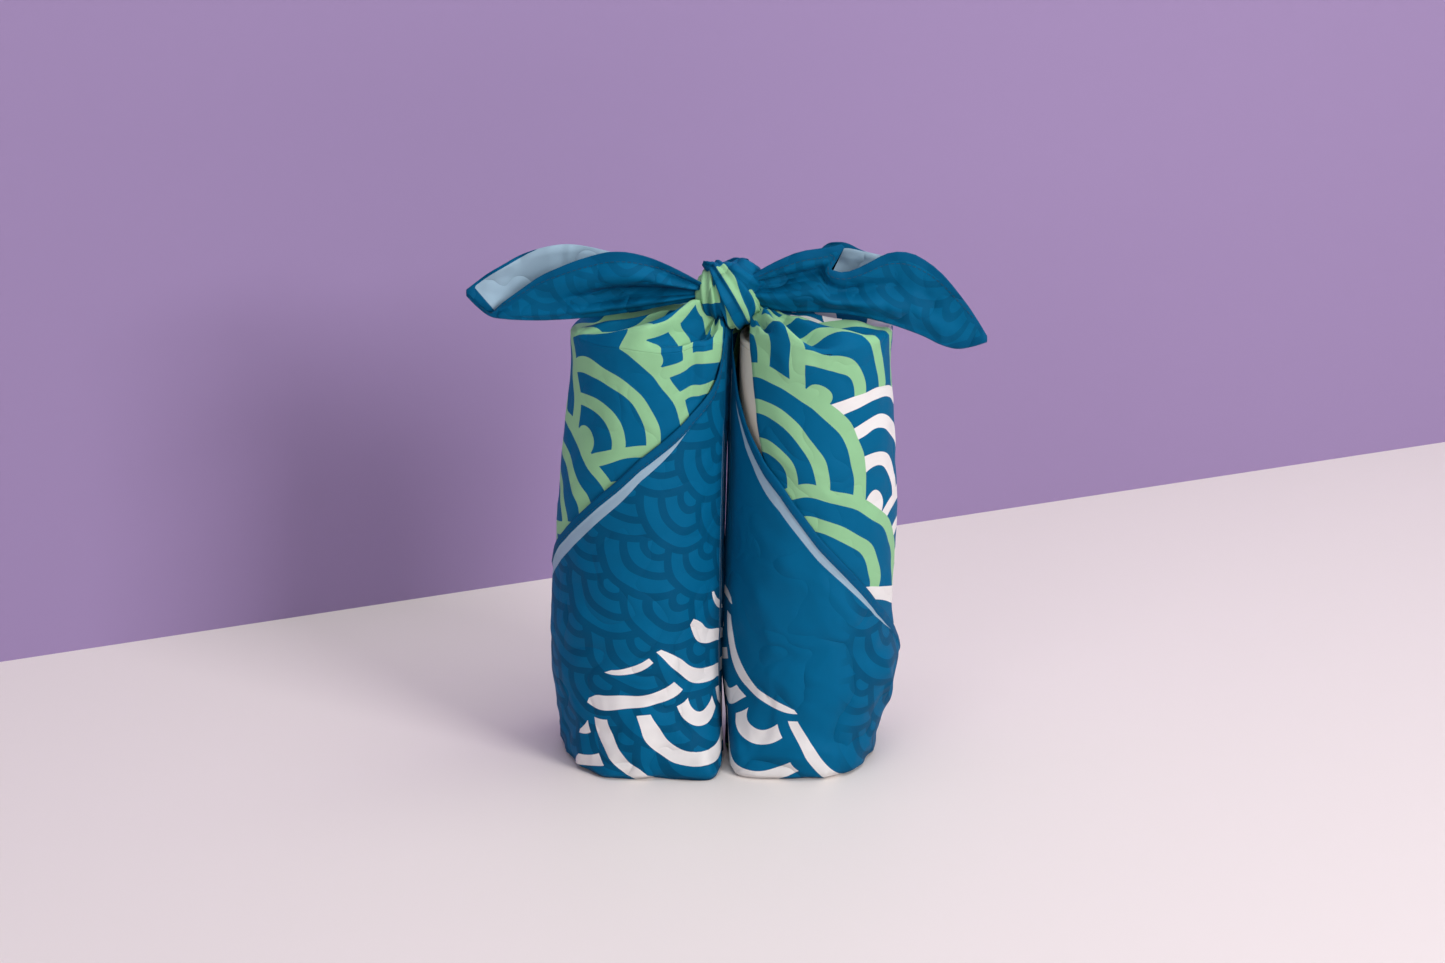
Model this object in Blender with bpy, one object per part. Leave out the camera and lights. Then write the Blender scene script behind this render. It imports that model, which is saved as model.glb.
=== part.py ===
# Furoshiki wrap around two canisters, built as one cloth solid and two canisters.
# Metres, +Z up, front of the wrap towards -Y. Tables are in millimetres and degrees.
import math

import bmesh
import bpy
from mathutils import Matrix, Vector

mm = 0.001

# size of the wrap
axisDistance = 38.7        # each column axis from the middle plane
lean = 0.028               # sideways lean of the columns, run over rise
shiftX = -3.7              # brings the middle of the tied ends onto x = 0
canisterRadius = 34.8
canisterBottom = 5.0
canisterTop = 208.6
rimWidth = 1.6             # raised rim round the canister lid
lidRecess = 1.2
sheetThickness = 1.05
layerPitch = 1.7           # from one wrapped layer to the next
middleReach = 38.35        # how near each column comes to the middle plane, from its axis
innermostRadius = 36.35    # outer face of the cloth that lies on the canister
roofHeight = 213.0         # outer face of the cloth that lies on the lid
padHeight = 3.4            # folded cloth under each canister
bridgeSize = (9.0, -26.0, 23.0)   # half width, front and back of the cloth between the columns
turnStep = 12              # degrees between the columns of each sheet, a whole share of a turn
probeStep = 0.5            # millimetres and degrees, for the slope of the cloth
overStep = 0.004           # the same along the way over the lid, which runs from 0 to 1
underEnds = 300            # turn past which the under layer reaches the ground
slideReach = 40.0          # degrees over which the slant of the first edge fades
rowGap = 3.0               # least rise from a free edge to the next row
knotCenter = (1.5, 0.0, 230.5)

# radius of the visible cloth by height (z) and by angle from the inner side round the front
angleStations = (0, 50, 70, 90, 113, 135, 157, 180, 225, 270, 315)
leftRadius = (
    # z,    0,    50,   70,   90,   113,  135,  157,  180,  225,  270,  315
    (0,   (38.3, 57.0, 47.0, 44.0, 45.5, 41.4, 38.0, 37.8, 39.0, 41.0, 40.0)),
    (12,  (38.3, 51.0, 45.5, 43.0, 43.2, 41.5, 39.6, 39.6, 40.0, 41.0, 39.5)),
    (25,  (38.3, 45.0, 43.0, 42.0, 42.0, 41.5, 41.0, 41.0, 41.0, 41.0, 39.0)),
    (45,  (38.3, 40.5, 41.5, 42.0, 42.3, 43.0, 43.7, 44.0, 43.0, 41.5, 39.0)),
    (80,  (38.2, 39.5, 40.5, 41.5, 42.0, 43.3, 44.0, 44.1, 43.0, 41.0, 38.8)),
    (105, (38.1, 39.0, 40.0, 40.6, 41.2, 42.3, 43.0, 43.0, 42.0, 40.5, 38.6)),
    (130, (38.0, 38.6, 39.2, 39.8, 40.3, 40.9, 41.3, 41.4, 40.6, 39.6, 38.2)),
    (160, (37.9, 38.2, 38.6, 38.9, 39.0, 39.1, 39.2, 39.2, 38.8, 38.4, 38.0)),
    (195, (37.8, 37.6, 37.4, 37.2, 36.9, 36.6, 36.4, 36.4, 36.8, 37.0, 37.4)),
    (213, (37.8, 37.6, 37.4, 37.1, 36.8, 36.5, 36.4, 36.4, 36.5, 36.8, 37.2)),
)
rightRadius = (
    # z,    0,    50,   70,   90,   113,  135,  157,  180,  225,  270,  315
    (0,   (38.3, 50.0, 45.5, 43.5, 43.8, 40.3, 37.2, 36.6, 38.0, 41.0, 40.0)),
    (12,  (38.3, 46.0, 44.0, 43.0, 42.5, 41.0, 38.8, 38.6, 40.0, 41.0, 39.5)),
    (25,  (38.3, 42.0, 42.0, 42.0, 42.0, 41.8, 41.5, 41.2, 41.0, 41.0, 39.0)),
    (50,  (38.3, 40.0, 41.0, 42.0, 43.0, 44.5, 46.0, 46.5, 44.5, 41.5, 39.0)),
    (63,  (38.3, 39.8, 40.8, 41.6, 42.0, 42.6, 43.0, 43.0, 42.5, 41.0, 38.8)),
    (75,  (38.2, 39.5, 40.5, 41.2, 41.2, 41.2, 41.2, 41.2, 41.0, 40.5, 38.7)),
    (105, (38.1, 39.0, 40.0, 40.6, 41.2, 42.0, 42.4, 42.4, 42.0, 40.5, 38.6)),
    (124, (38.0, 38.6, 39.4, 40.0, 40.8, 41.6, 42.2, 42.4, 41.6, 40.0, 38.4)),
    (148, (38.0, 38.3, 38.6, 39.1, 39.6, 40.1, 40.4, 40.4, 39.6, 38.8, 38.1)),
    (172, (37.9, 37.9, 38.1, 38.2, 38.3, 38.3, 38.3, 38.3, 38.2, 38.1, 37.9)),
    (195, (37.8, 37.4, 37.2, 37.0, 36.7, 36.4, 36.4, 36.4, 36.6, 36.8, 37.2)),
    (213, (37.8, 37.3, 37.1, 36.9, 36.6, 36.4, 36.4, 36.4, 36.4, 36.6, 37.0)),
)

# the hem of the outer flap: height, angle past one whole turn
leftHem = (
    (0, 330), (100, 180), (117, 155), (129, 138), (141, 121), (150, 107), (160, 93),
    (171, 72), (178, 59), (184, 47), (188.5, 39), (194.5, 31), (201, 29), (208, 26), (214, 24),
    (240, 0),
)
rightHem = (
    (0, 262), (56, 180), (70, 165), (85, 142), (97, 127), (110, 111), (122, 96),
    (134, 83), (147, 68), (155, 56), (163, 47), (172, 39), (182, 31), (193, 24), (204, 16), (214, 9),
    (240, 0),
)

# the hidden lower edge of the under layer: angle, height; and its first edge: height, angle
leftUnder = ((-12, 180), (50, 140), (115, 100), (175, 60), (265, 0))
rightUnder = ((51, 112), (112, 56), (200, 0))
leftStart = ((0, -12), (214, -12))
rightStart = ((0, 45), (100, 60), (159, 51), (164, 49), (180, 45), (194, 40.5), (209, 36), (216, 34))

# folds that fan from the knot over each lid: angle, half width, height, start and end along the roof
leftFolds = (
    (34, 10, 2.0, 0.05, 0.8), (116, 19, 6.0, 0.02, 0.95), (160, 13, 2.6, 0.05, 0.8),
    (200, 12, 3.0, 0.02, 0.9), (238, 13, 4.0, 0.02, 0.9), (272, 12, 3.0, 0.02, 0.9),
    (306, 12, 4.0, 0.02, 0.9),
)
rightFolds = (
    (58, 11, 2.6, 0.20, 0.9), (82, 9, 2.6, 0.10, 0.85), (97, 7, -1.0, 0.03, 0.6),
    (122, 13, 3.4, 0.02, 0.85), (156, 12, 2.4, 0.05, 0.8), (196, 13, 3.4, 0.02, 0.9),
    (236, 13, 3.6, 0.02, 0.9), (276, 12, 3.4, 0.02, 0.9), (318, 12, 3.0, 0.02, 0.9),
)

# the pleat beside the left hem: angles where it starts and ends, and the heights where it grows
stripAngles = (20.0, 50.0, 53.0)
stripHeights = (160.0, 195.0)

# the rim of the lid is left off near the inner side, between these angles
lidAngles = (15.0, 65.0)

# how many layers lie inside the cloth that shows: angle, layers
seenLayers = ((0, 1.0), (24, 1.0), (60, 0.5), (190, 0.5), (230, 0.9), (285, 1.2), (325, 1.0), (360, 1.0))

columns = {
    "left": {
        "side": -1, "radius": leftRadius, "hem": leftHem, "start": leftStart,
        "under": leftUnder, "split": 384, "last": 672, "folds": leftFolds,
        "stripHeight": 1.3, "rope": (9.5, -3.0, 227.0, 6.0), "roofStart": 24,
    },
    "right": {
        "side": 1, "radius": rightRadius, "hem": rightHem, "start": rightStart,
        "under": rightUnder, "split": 369, "last": 609, "folds": rightFolds,
        "stripHeight": 0.0, "rope": (12.5, -1.0, 225.0, 6.0), "roofStart": 45,
    },
}

# rows of the sheet above the last table height, then how far over the lid towards the knot (0 to 1)
bottomRow = 0.8
topRow = 210.0
coveredTop = 203.0         # top of the under layer where the flap covers it at the inner side
rimShare = 0.10            # how far over the lid the rim rounds
roofRows = (0.02, 0.05, 0.10, 0.18, 0.30, 0.46, 0.64, 0.82, 1.0)

# tied ends: x, back edge (y, z), bottom fold (y, z), front edge (y, z), belly of the front leaf
leftTail = (
    # x,      backY, backZ, foldY, foldZ, frontY, frontZ, belly
    (-4.0,    3.0, 237.0,  -5.0, 226.5, -10.0, 235.0, 1.0),
    (-12.0,   3.5, 239.5,  -6.0, 226.3, -10.5, 237.5, 1.5),
    (-20.0,   4.0, 243.0,  -7.0, 225.0, -10.5, 241.5, 2.5),
    (-30.0,   4.5, 247.5,  -8.0, 223.2, -10.0, 246.5, 4.0),
    (-42.0,   4.5, 250.4,  -8.5, 221.2,  -8.5, 249.9, 5.0),
    (-53.0,   4.0, 251.2,  -8.5, 219.6,  -7.0, 249.8, 5.5),
    (-64.0,   3.0, 251.6,  -8.0, 218.3,  -7.0, 246.6, 5.0),
    (-74.0,   2.0, 251.0,  -7.5, 217.5,  -8.0, 242.8, 4.0),
    (-83.0,   1.0, 249.5,  -7.0, 217.0,  -8.5, 238.4, 3.0),
    (-92.0,   0.0, 246.6,  -6.5, 217.0,  -9.0, 232.0, 2.0),
    (-100.0, -1.0, 242.4,  -6.0, 217.4,  -8.4, 226.0, 0.6),
    (-106.5, -2.0, 238.8,  -5.5, 218.5,  -6.8, 220.5, 0.0),
    (-112.5, -3.0, 234.6,  -5.0, 223.0,  -5.0, 223.0, 0.0),
    (-117.3, -4.0, 231.0,  -4.5, 228.0,  -4.5, 228.0, 0.0),
)
rightTail = (
    # x,      backY, backZ, foldY, foldZ, frontY, frontZ, belly
    (8.0,     3.0, 237.5,  -5.0, 227.5, -10.0, 235.5, 1.0),
    (16.0,    3.5, 240.3,  -7.0, 225.4, -10.5, 238.5, 1.5),
    (25.0,    4.5, 245.4,  -8.0, 222.6, -10.5, 244.0, 2.5),
    (35.0,    5.0, 250.0,  -9.0, 221.6, -10.0, 249.0, 4.0),
    (44.0,    5.5, 252.0,  -9.0, 221.5,  -9.5, 248.0, 5.0),
    (52.0,    5.5, 253.6,  -9.0, 221.2, -10.0, 243.6, 5.5),
    (58.5,    5.0, 254.6,  -9.0, 220.6, -10.5, 241.4, 5.5),
    (67.0,    4.0, 251.6,  -8.5, 218.8, -10.5, 244.6, 5.0),
    (78.0,    2.5, 251.0,  -8.0, 215.8, -10.0, 248.8, 4.5),
    (87.0,    1.0, 250.6,  -7.5, 212.6,  -9.5, 248.0, 3.5),
    (95.0,   -1.0, 246.2,  -7.5, 209.4, -10.0, 241.6, 2.5),
    (103.0,  -3.0, 239.6,  -7.5, 205.4, -10.5, 231.0, 1.5),
    (110.5,  -4.5, 230.6,  -7.5, 203.4,  -9.6, 213.0, 0.3),
    (117.5,  -6.0, 221.0,  -8.0, 204.6,  -8.0, 204.6, 0.0),
    (124.4,  -7.5, 209.8,  -8.0, 206.8,  -8.0, 206.8, 0.0),
)
foldRadius = 1.5           # of the rounded fold that joins the two leaves of a tied end

# knot bands: each is a tube through (x, y, z, half width, half depth) with a flat turned section
knotBands = {
    "middleBand": (
        (-5.0, 4.0, 240.0, 4.0, 3.0), (-3.5, -3.0, 243.5, 4.6, 3.2), (-0.5, -9.0, 240.5, 6.0, 3.4),
        (3.0, -12.0, 234.5, 7.6, 3.6), (6.5, -12.5, 227.5, 8.2, 3.6), (10.0, -10.0, 221.0, 7.6, 3.4),
        (11.5, -4.0, 218.2, 6.4, 3.2), (11.0, 3.0, 219.5, 5.0, 3.0),
    ),
    "leftLoop": (
        (6.0, -2.0, 233.0, 7.0, 5.5), (0.5, -6.5, 231.5, 8.6, 5.5), (-4.0, -7.0, 229.5, 9.2, 5.4),
        (-8.5, -3.5, 228.5, 8.6, 5.0), (-9.5, 3.0, 229.0, 7.0, 4.6),
    ),
    "topLobe": (
        (2.0, -1.0, 239.5, 5.0, 4.5), (8.0, -4.5, 238.5, 7.4, 6.2), (13.5, -3.5, 236.5, 7.6, 6.0),
        (17.0, 1.0, 234.5, 6.0, 5.0),
    ),
    "ear": (
        (-6.6, -1.0, 246.0, 0.9, 2.0), (-4.6, -2.0, 244.2, 2.0, 3.0), (-1.5, -2.5, 241.5, 3.4, 4.0),
        (2.0, -2.0, 238.0, 4.4, 4.4),
    ),
    "core": (
        (-7.0, 0.0, 230.0, 7.0, 7.0), (0.0, 0.0, 231.0, 11.0, 9.5), (8.0, 0.0, 230.0, 11.5, 9.5),
        (15.0, 0.0, 229.0, 7.0, 7.0),
    ),
}


def smooth(value):
    value = min(1.0, max(0.0, value))
    return value * value * (3.0 - 2.0 * value)


def blend(low, high, share):
    return low + (high - low) * share


def readTable(table, key):
    # value in the second column at a key in the first, straight between rows
    if key <= table[0][0]:
        return table[0][1]
    for (keyA, valueA), (keyB, valueB) in zip(table, table[1:]):
        if key <= keyB:
            return blend(valueA, valueB, (key - keyA) / (keyB - keyA))
    return table[-1][1]


def hemHeight(column, angle):
    flipped = sorted((turn, height) for height, turn in column["hem"])
    return readTable(flipped, angle)


def readRadius(table, angle, height):
    # smooth round the angle stations, eased between the heights
    angle = angle % 360.0
    stations = angleStations + (360,)
    index = max(i for i in range(len(angleStations)) if angleStations[i] <= angle)
    share = smooth((angle - stations[index]) / (stations[index + 1] - stations[index]))
    after = (index + 1) % len(angleStations)
    height = min(max(height, table[0][0]), table[-1][0])
    for (lowZ, low), (highZ, high) in zip(table, table[1:]):
        if height <= highZ:
            climb = (height - lowZ) / (highZ - lowZ)
            lowValue = blend(low[index], low[after], share)
            highValue = blend(high[index], high[after], share)
            radius = blend(lowValue, highValue, climb)
            break
    towardsMiddle = max(math.cos(math.radians(angle)), 0.01)
    return min(radius, middleReach / towardsMiddle)


def slideStart(column, turn, height):
    # the first stations follow the slanted first edge of the under layer
    first = column["start"][0][1]
    slide = readTable(column["start"], height) - first
    return turn + slide * max(0.0, 1.0 - (turn - first) / slideReach)


def wallHeights(column, turn):
    # the wall rows between the two free edges at one column
    low = bottomRow
    high = topRow
    if turn < underEnds:
        low = max(low, readTable(column["under"], turn))
    if turn < column["roofStart"]:
        high = coveredTop
    if turn > column["split"]:
        high = min(high, hemHeight(column, turn - 360.0))
    rows = [height for height, radii in column["radius"] if low + rowGap < height < high - rowGap]
    return [low] + rows + [high]


def columnStations(column, turn):
    # stations up the wall and over the lid: an order along the column, point, outward normal
    stations = [(height, 0.0) for height in wallHeights(column, turn)]
    if column["roofStart"] <= turn <= column["split"]:
        stations += [(topRow, along) for along in roofRows]

    def cloth(angle, z, over):
        return clothPoint(column, angle, z, over)

    made = []
    for height, along in stations:
        normal = slopeNormal(cloth, turn, height, along) * column["side"]
        made.append((height + 100.0 * along, cloth(turn, height, along), normal))
    return made


def layerCount(turn):
    # whole layers gained along the spiral
    return smooth((turn - 200.0) / 130.0) + smooth((turn - 540.0) / 100.0)


def clothRadius(column, angle, height):
    # the surface that shows, which always leaves room for the layers inside it
    inside = layerPitch * readTable(seenLayers, angle)
    radius = max(innermostRadius + inside, readRadius(column["radius"], angle, height))
    return radius + column["stripHeight"] * stripShare(angle, height)


def stripShare(angle, height):
    grown, fallFrom, fallTo = stripAngles
    around = smooth(angle / grown) * smooth((fallTo - angle) / (fallTo - fallFrom))
    low, high = stripHeights
    return around * min(1.0, max(0.0, (height - low) / (high - low)))


def foldLift(column, angle, along):
    lift = 0.0
    for center, width, height, start, end in column["folds"]:
        apart = (angle - center + 180.0) % 360.0 - 180.0
        span = (along - start) / (end - start)
        if 0.0 < span < 1.0:
            rise = smooth(span / 0.3) * smooth((1.0 - span) / 0.3)
            spreadWidth = width * (1.0 + 1.6 * along)
            lift += height * math.exp(-(apart / spreadWidth) ** 2) * rise
    return lift


def placePoint(column, outward, y, z):
    # outward is measured from the middle plane on the column's own side
    return Vector((column["side"] * outward + lean * z + shiftX, y, z))


def shownPoint(column, angle, height, along):
    # the surface that shows: the wall when along is 0, else over the lid to the rope
    angle = angle % 360.0
    radians = math.radians(angle)
    radius = clothRadius(column, angle, height)
    outward = axisDistance - radius * math.cos(radians)
    y = -radius * math.sin(radians)
    z = height
    if along > 0.0:
        ropeOut, ropeY, ropeZ, ropeRadius = column["rope"]
        outward = blend(outward, ropeOut - ropeRadius * math.cos(radians), along)
        y = blend(y, ropeY - ropeRadius * math.sin(radians), along)
        power = 2.2 - 1.2 * math.cos(radians)
        lidFrom, lidTo = lidAngles
        lid = smooth((min(angle, 360.0 - angle) - lidFrom) / (lidTo - lidFrom))
        rim = lid * (roofHeight - topRow)
        z = topRow + rim * (1.0 - (1.0 - min(1.0, along / rimShare)) ** 2)
        z += (ropeZ - topRow - rim) * along ** power + foldLift(column, angle, along)
    return placePoint(column, outward, y, z)


def slopeNormal(pointAt, turn, height, along):
    # outward normal from small steps round, and up the wall or along the lid
    sideways = pointAt(turn + probeStep, height, along) - pointAt(turn - probeStep, height, along)
    if along > 0.0:
        upwards = pointAt(turn, height, along + overStep) - pointAt(turn, height, along - overStep)
    else:
        upwards = pointAt(turn, height, along) - pointAt(turn, height - probeStep, along)
    return sideways.cross(upwards).normalized()


def clothPoint(column, turn, height, along):
    # a point of the spiral: the surface that shows, moved by whole layers along its normal
    turn = slideStart(column, turn, height)
    shift = layerPitch * (layerCount(turn) - readTable(seenLayers, turn % 360.0))

    def shown(angle, z, over):
        return shownPoint(column, angle, z, over)

    normal = slopeNormal(shown, turn, height, along) * column["side"]
    return shown(turn, height, along) + normal * shift


def makeSheet(stripes, thickness):
    # closed slab from neighbouring columns of (order, outer point, outward normal); orders that
    # match are joined across, and the rest are fanned, so a free edge can slant
    mesh = bmesh.new()
    outer = [[mesh.verts.new(point * mm) for order, point, normal in stripe] for stripe in stripes]
    inner = [[mesh.verts.new((point - normal * thickness) * mm) for order, point, normal in stripe]
             for stripe in stripes]
    edges = {}
    for j in range(len(stripes) - 1):
        for corners in stitch([row[0] for row in stripes[j]], [row[0] for row in stripes[j + 1]]):
            loop = [(j + side, index) for side, index in corners]
            mesh.faces.new([outer[a][b] for a, b in loop])
            mesh.faces.new([inner[a][b] for a, b in reversed(loop)])
            for start, end in zip(loop, loop[1:] + loop[:1]):
                if (end, start) in edges:
                    del edges[end, start]
                else:
                    edges[start, end] = True
    for (a, b), (c, d) in edges:
        mesh.faces.new((outer[c][d], outer[a][b], inner[a][b], inner[c][d]))
    return mesh


def stitch(left, right):
    # faces between two columns, each corner given as (column 0 or 1, index)
    faces = []
    i = 0
    k = 0
    while i < len(left) - 1 or k < len(right) - 1:
        canLeft = i < len(left) - 1
        canRight = k < len(right) - 1
        nextLeft = left[i + 1] if canLeft else 1e9
        nextRight = right[k + 1] if canRight else 1e9
        if canLeft != canRight and min(nextLeft, nextRight) > topRow + 0.5:
            break
        if canLeft and canRight and abs(nextLeft - nextRight) < 1e-6:
            faces.append(((0, i), (1, k), (1, k + 1), (0, i + 1)))
            i += 1
            k += 1
        elif nextLeft < nextRight:
            faces.append(((0, i), (1, k), (0, i + 1)))
            i += 1
        else:
            faces.append(((0, i), (1, k), (1, k + 1)))
            k += 1
    return faces


def gridStripes(rows):
    # columns for makeSheet from an even grid of points
    stripes = []
    for j, row in enumerate(rows):
        before = rows[max(j - 1, 0)]
        after = rows[min(j + 1, len(rows) - 1)]
        stripe = []
        for i, point in enumerate(row):
            along = row[min(i + 1, len(row) - 1)] - row[max(i - 1, 0)]
            normal = (after[i] - before[i]).cross(along).normalized()
            stripe.append((i, point, normal))
        stripes.append(stripe)
    return stripes


def makeTube(rings):
    # closed body from rings of points, capped at both ends
    mesh = bmesh.new()
    made = [[mesh.verts.new(point * mm) for point in ring] for ring in rings]
    count = len(rings[0])
    for low, high in zip(made, made[1:]):
        for j in range(count):
            after = (j + 1) % count
            mesh.faces.new((low[j], low[after], high[after], high[j]))
    mesh.faces.new(list(reversed(made[0])))
    mesh.faces.new(made[-1])
    return mesh


def makeObject(name, mesh):
    bmesh.ops.recalc_face_normals(mesh, faces=mesh.faces)
    bmesh.ops.triangulate(mesh, faces=[f for f in mesh.faces if len(f.verts) > 3])
    data = bpy.data.meshes.new(name)
    mesh.to_mesh(data)
    mesh.free()
    thing = bpy.data.objects.new(name, data)
    bpy.context.collection.objects.link(thing)
    for polygon in data.polygons:
        polygon.use_smooth = True
    return thing


def makeColumnSheet(name, column):
    first = column["start"][0][1]
    stripes = [columnStations(column, turn)
               for turn in range(first, column["last"] + 1, turnStep)]
    return makeObject(name, makeSheet(stripes, sheetThickness))


def makePad(name, column):
    # folded cloth under the canister, flat below, with its rim inside the sheet
    turns = range(column["last"] - 360 + turnStep, column["last"] + 1, turnStep)
    rings = []
    for z, inset in ((0.0, 2.6), (0.7, 1.2), (1.6, 0.6), (padHeight, 0.6)):
        ring = []
        for turn in turns:
            shift = layerPitch * (layerCount(turn) - readTable(seenLayers, turn % 360.0))
            radius = clothRadius(column, turn % 360.0, bottomRow) + shift - inset
            radians = math.radians(turn)
            outward = axisDistance - radius * math.cos(radians)
            ring.append(placePoint(column, outward, -radius * math.sin(radians), z))
        rings.append(ring)
    return makeObject(name, makeTube(rings))


def makeBridge(name):
    # the cloth that runs under the gap from one column to the other
    halfWidth, front, back = bridgeSize
    outline = ((-halfWidth, front), (halfWidth, front), (halfWidth, back), (-halfWidth, back))
    rings = [[Vector((x + shiftX, y, z)) for x, y in outline] for z in (0.0, padHeight - 0.4)]
    return makeObject(name, makeTube(rings))


def makeTail(name, table):
    # doubled cloth: a back leaf, a front leaf and the rounded fold that joins them below
    backRows = []
    frontRows = []
    foldRings = []
    for x, backY, backZ, foldY, foldZ, frontY, frontZ, belly in table:
        x = x + shiftX
        back = []
        for share in (0.0, 0.2, 0.4, 0.6, 0.8, 1.0):
            bow = 0.5 * belly * math.sin(math.pi * share)
            back.append(Vector((x, blend(backY, foldY, share ** 1.4) + bow,
                                blend(backZ, foldZ, share))))
        backRows.append(back)
        if frontZ < foldZ + 1.0:
            continue
        front = []
        for share in (0.0, 0.15, 0.35, 0.55, 0.78, 1.0):
            bow = belly * math.sin(math.pi * share)
            front.append(Vector((x, blend(foldY - foldRadius, frontY, share) - bow,
                                 blend(foldZ + 0.6, frontZ, share))))
        frontRows.append(front)
        middle = (foldY - 0.2, foldZ + 0.2)
        foldRings.append([Vector((x, middle[0] + foldRadius * math.cos(math.pi * k / 4.0),
                                  middle[1] + foldRadius * math.sin(math.pi * k / 4.0)))
                          for k in range(8)])
    outwards = table[0][0] > table[-1][0]
    if outwards:
        backRows.reverse()
        frontRows.reverse()
    backSheet = makeSheet(gridStripes(backRows), sheetThickness)
    frontSheet = makeSheet(gridStripes(frontRows), -sheetThickness)
    return [makeObject(name + "Back", backSheet), makeObject(name + "Front", frontSheet),
            makeObject(name + "Fold", makeTube(foldRings))]


def makeBand(name, stations):
    # bent flattened tube through the stations of one knot band
    ringCount = 14
    centers = [Vector((x + shiftX, y, z)) for x, y, z, width, depth in stations]
    rings = []
    for k, (x, y, z, width, depth) in enumerate(stations):
        heading = centers[min(k + 1, len(centers) - 1)] - centers[max(k - 1, 0)]
        heading.normalize()
        outward = centers[k] - Vector(knotCenter) - Vector((shiftX, 0.0, 0.0))
        outward -= heading * outward.dot(heading)
        if outward.length < 1e-3:
            outward = Vector((0.0, -1.0, 0.0))
        outward.normalize()
        sideways = heading.cross(outward)
        ring = []
        for j in range(ringCount):
            turn = 2.0 * math.pi * j / ringCount
            ring.append(centers[k] + sideways * width * math.cos(turn)
                        + outward * depth * math.sin(turn))
        rings.append(ring)
    return makeObject(name, makeTube(rings))


def makeCanister(name, side):
    # plain closed canister with a raised rim round a slightly sunk lid
    profile = (
        (0.0, canisterBottom), (canisterRadius - 1.0, canisterBottom),
        (canisterRadius, canisterBottom + 1.0), (canisterRadius, canisterTop - 0.6),
        (canisterRadius - 0.5, canisterTop), (canisterRadius - rimWidth, canisterTop),
        (canisterRadius - rimWidth - 0.4, canisterTop - lidRecess), (0.0, canisterTop - lidRecess),
    )
    segments = 40
    mesh = bmesh.new()
    rings = []
    for radius, z in profile:
        if radius == 0.0:
            rings.append([mesh.verts.new((0.0, 0.0, z * mm))])
            continue
        ring = []
        for j in range(segments):
            turn = 2.0 * math.pi * j / segments
            ring.append(mesh.verts.new((radius * math.cos(turn) * mm,
                                        radius * math.sin(turn) * mm, z * mm)))
        rings.append(ring)
    for low, high in zip(rings, rings[1:]):
        for j in range(segments):
            after = (j + 1) % segments
            corners = [low[j % len(low)], low[after % len(low)],
                       high[after % len(high)], high[j % len(high)]]
            unique = list(dict.fromkeys(corners))
            mesh.faces.new(unique)
    tilt = Matrix.Rotation(math.atan(lean), 3, "Y")
    bmesh.ops.rotate(mesh, verts=mesh.verts, cent=(0.0, 0.0, 0.0), matrix=tilt)
    bmesh.ops.translate(mesh, verts=mesh.verts, vec=((side * axisDistance + shiftX) * mm, 0.0, 0.0))
    return makeObject(name, mesh)


def joinInto(body, pieces):
    for piece in pieces:
        modifier = body.modifiers.new("join", "BOOLEAN")
        modifier.operation = "UNION"
        modifier.solver = "EXACT"
        modifier.object = piece
        depsgraph = bpy.context.evaluated_depsgraph_get()
        joined = bpy.data.meshes.new_from_object(body.evaluated_get(depsgraph))
        body.modifiers.clear()
        body.data = joined
        bpy.data.objects.remove(piece, do_unlink=True)


def paint(thing, name, color, roughness, metallic):
    material = bpy.data.materials.new(name)
    material.use_nodes = True
    shader = material.node_tree.nodes["Principled BSDF"]
    shader.inputs["Base Color"].default_value = (*color, 1.0)
    shader.inputs["Roughness"].default_value = roughness
    shader.inputs["Metallic"].default_value = metallic
    thing.data.materials.clear()
    thing.data.materials.append(material)


def main():
    for thing in list(bpy.data.objects):
        bpy.data.objects.remove(thing, do_unlink=True)

    cloth = makeColumnSheet("furoshiki", columns["left"])
    pieces = [makePad("padLeft", columns["left"])]
    pieces.append(makeBridge("bridge"))
    pieces.append(makePad("padRight", columns["right"]))
    pieces.append(makeColumnSheet("rightSheet", columns["right"]))
    pieces += [makeBand(name, stations) for name, stations in knotBands.items()]
    pieces += makeTail("leftTail", leftTail)
    pieces += makeTail("rightTail", rightTail)
    joinInto(cloth, pieces)
    paint(cloth, "blueCloth", (0.0, 0.105, 0.235), 0.72, 0.0)

    for name, side in (("canister_left", -1), ("canister_right", 1)):
        canister = makeCanister(name, side)
        paint(canister, name + "_paper", (0.42, 0.35, 0.30), 0.6, 0.0)


main()
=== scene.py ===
import math

import bmesh
import bpy
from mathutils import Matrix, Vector, noise


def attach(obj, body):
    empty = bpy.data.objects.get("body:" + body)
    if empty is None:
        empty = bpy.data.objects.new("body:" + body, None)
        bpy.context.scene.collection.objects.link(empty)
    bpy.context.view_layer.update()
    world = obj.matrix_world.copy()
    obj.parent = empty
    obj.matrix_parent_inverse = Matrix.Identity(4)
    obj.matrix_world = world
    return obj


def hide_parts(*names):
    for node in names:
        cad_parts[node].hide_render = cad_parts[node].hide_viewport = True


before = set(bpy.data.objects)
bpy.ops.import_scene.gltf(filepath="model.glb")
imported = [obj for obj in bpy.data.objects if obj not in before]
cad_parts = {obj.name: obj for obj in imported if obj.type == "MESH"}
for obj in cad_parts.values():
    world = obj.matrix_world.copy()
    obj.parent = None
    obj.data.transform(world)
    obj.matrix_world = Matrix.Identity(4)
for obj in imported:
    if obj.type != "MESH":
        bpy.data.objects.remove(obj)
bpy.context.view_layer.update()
mm = 0.001


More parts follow.
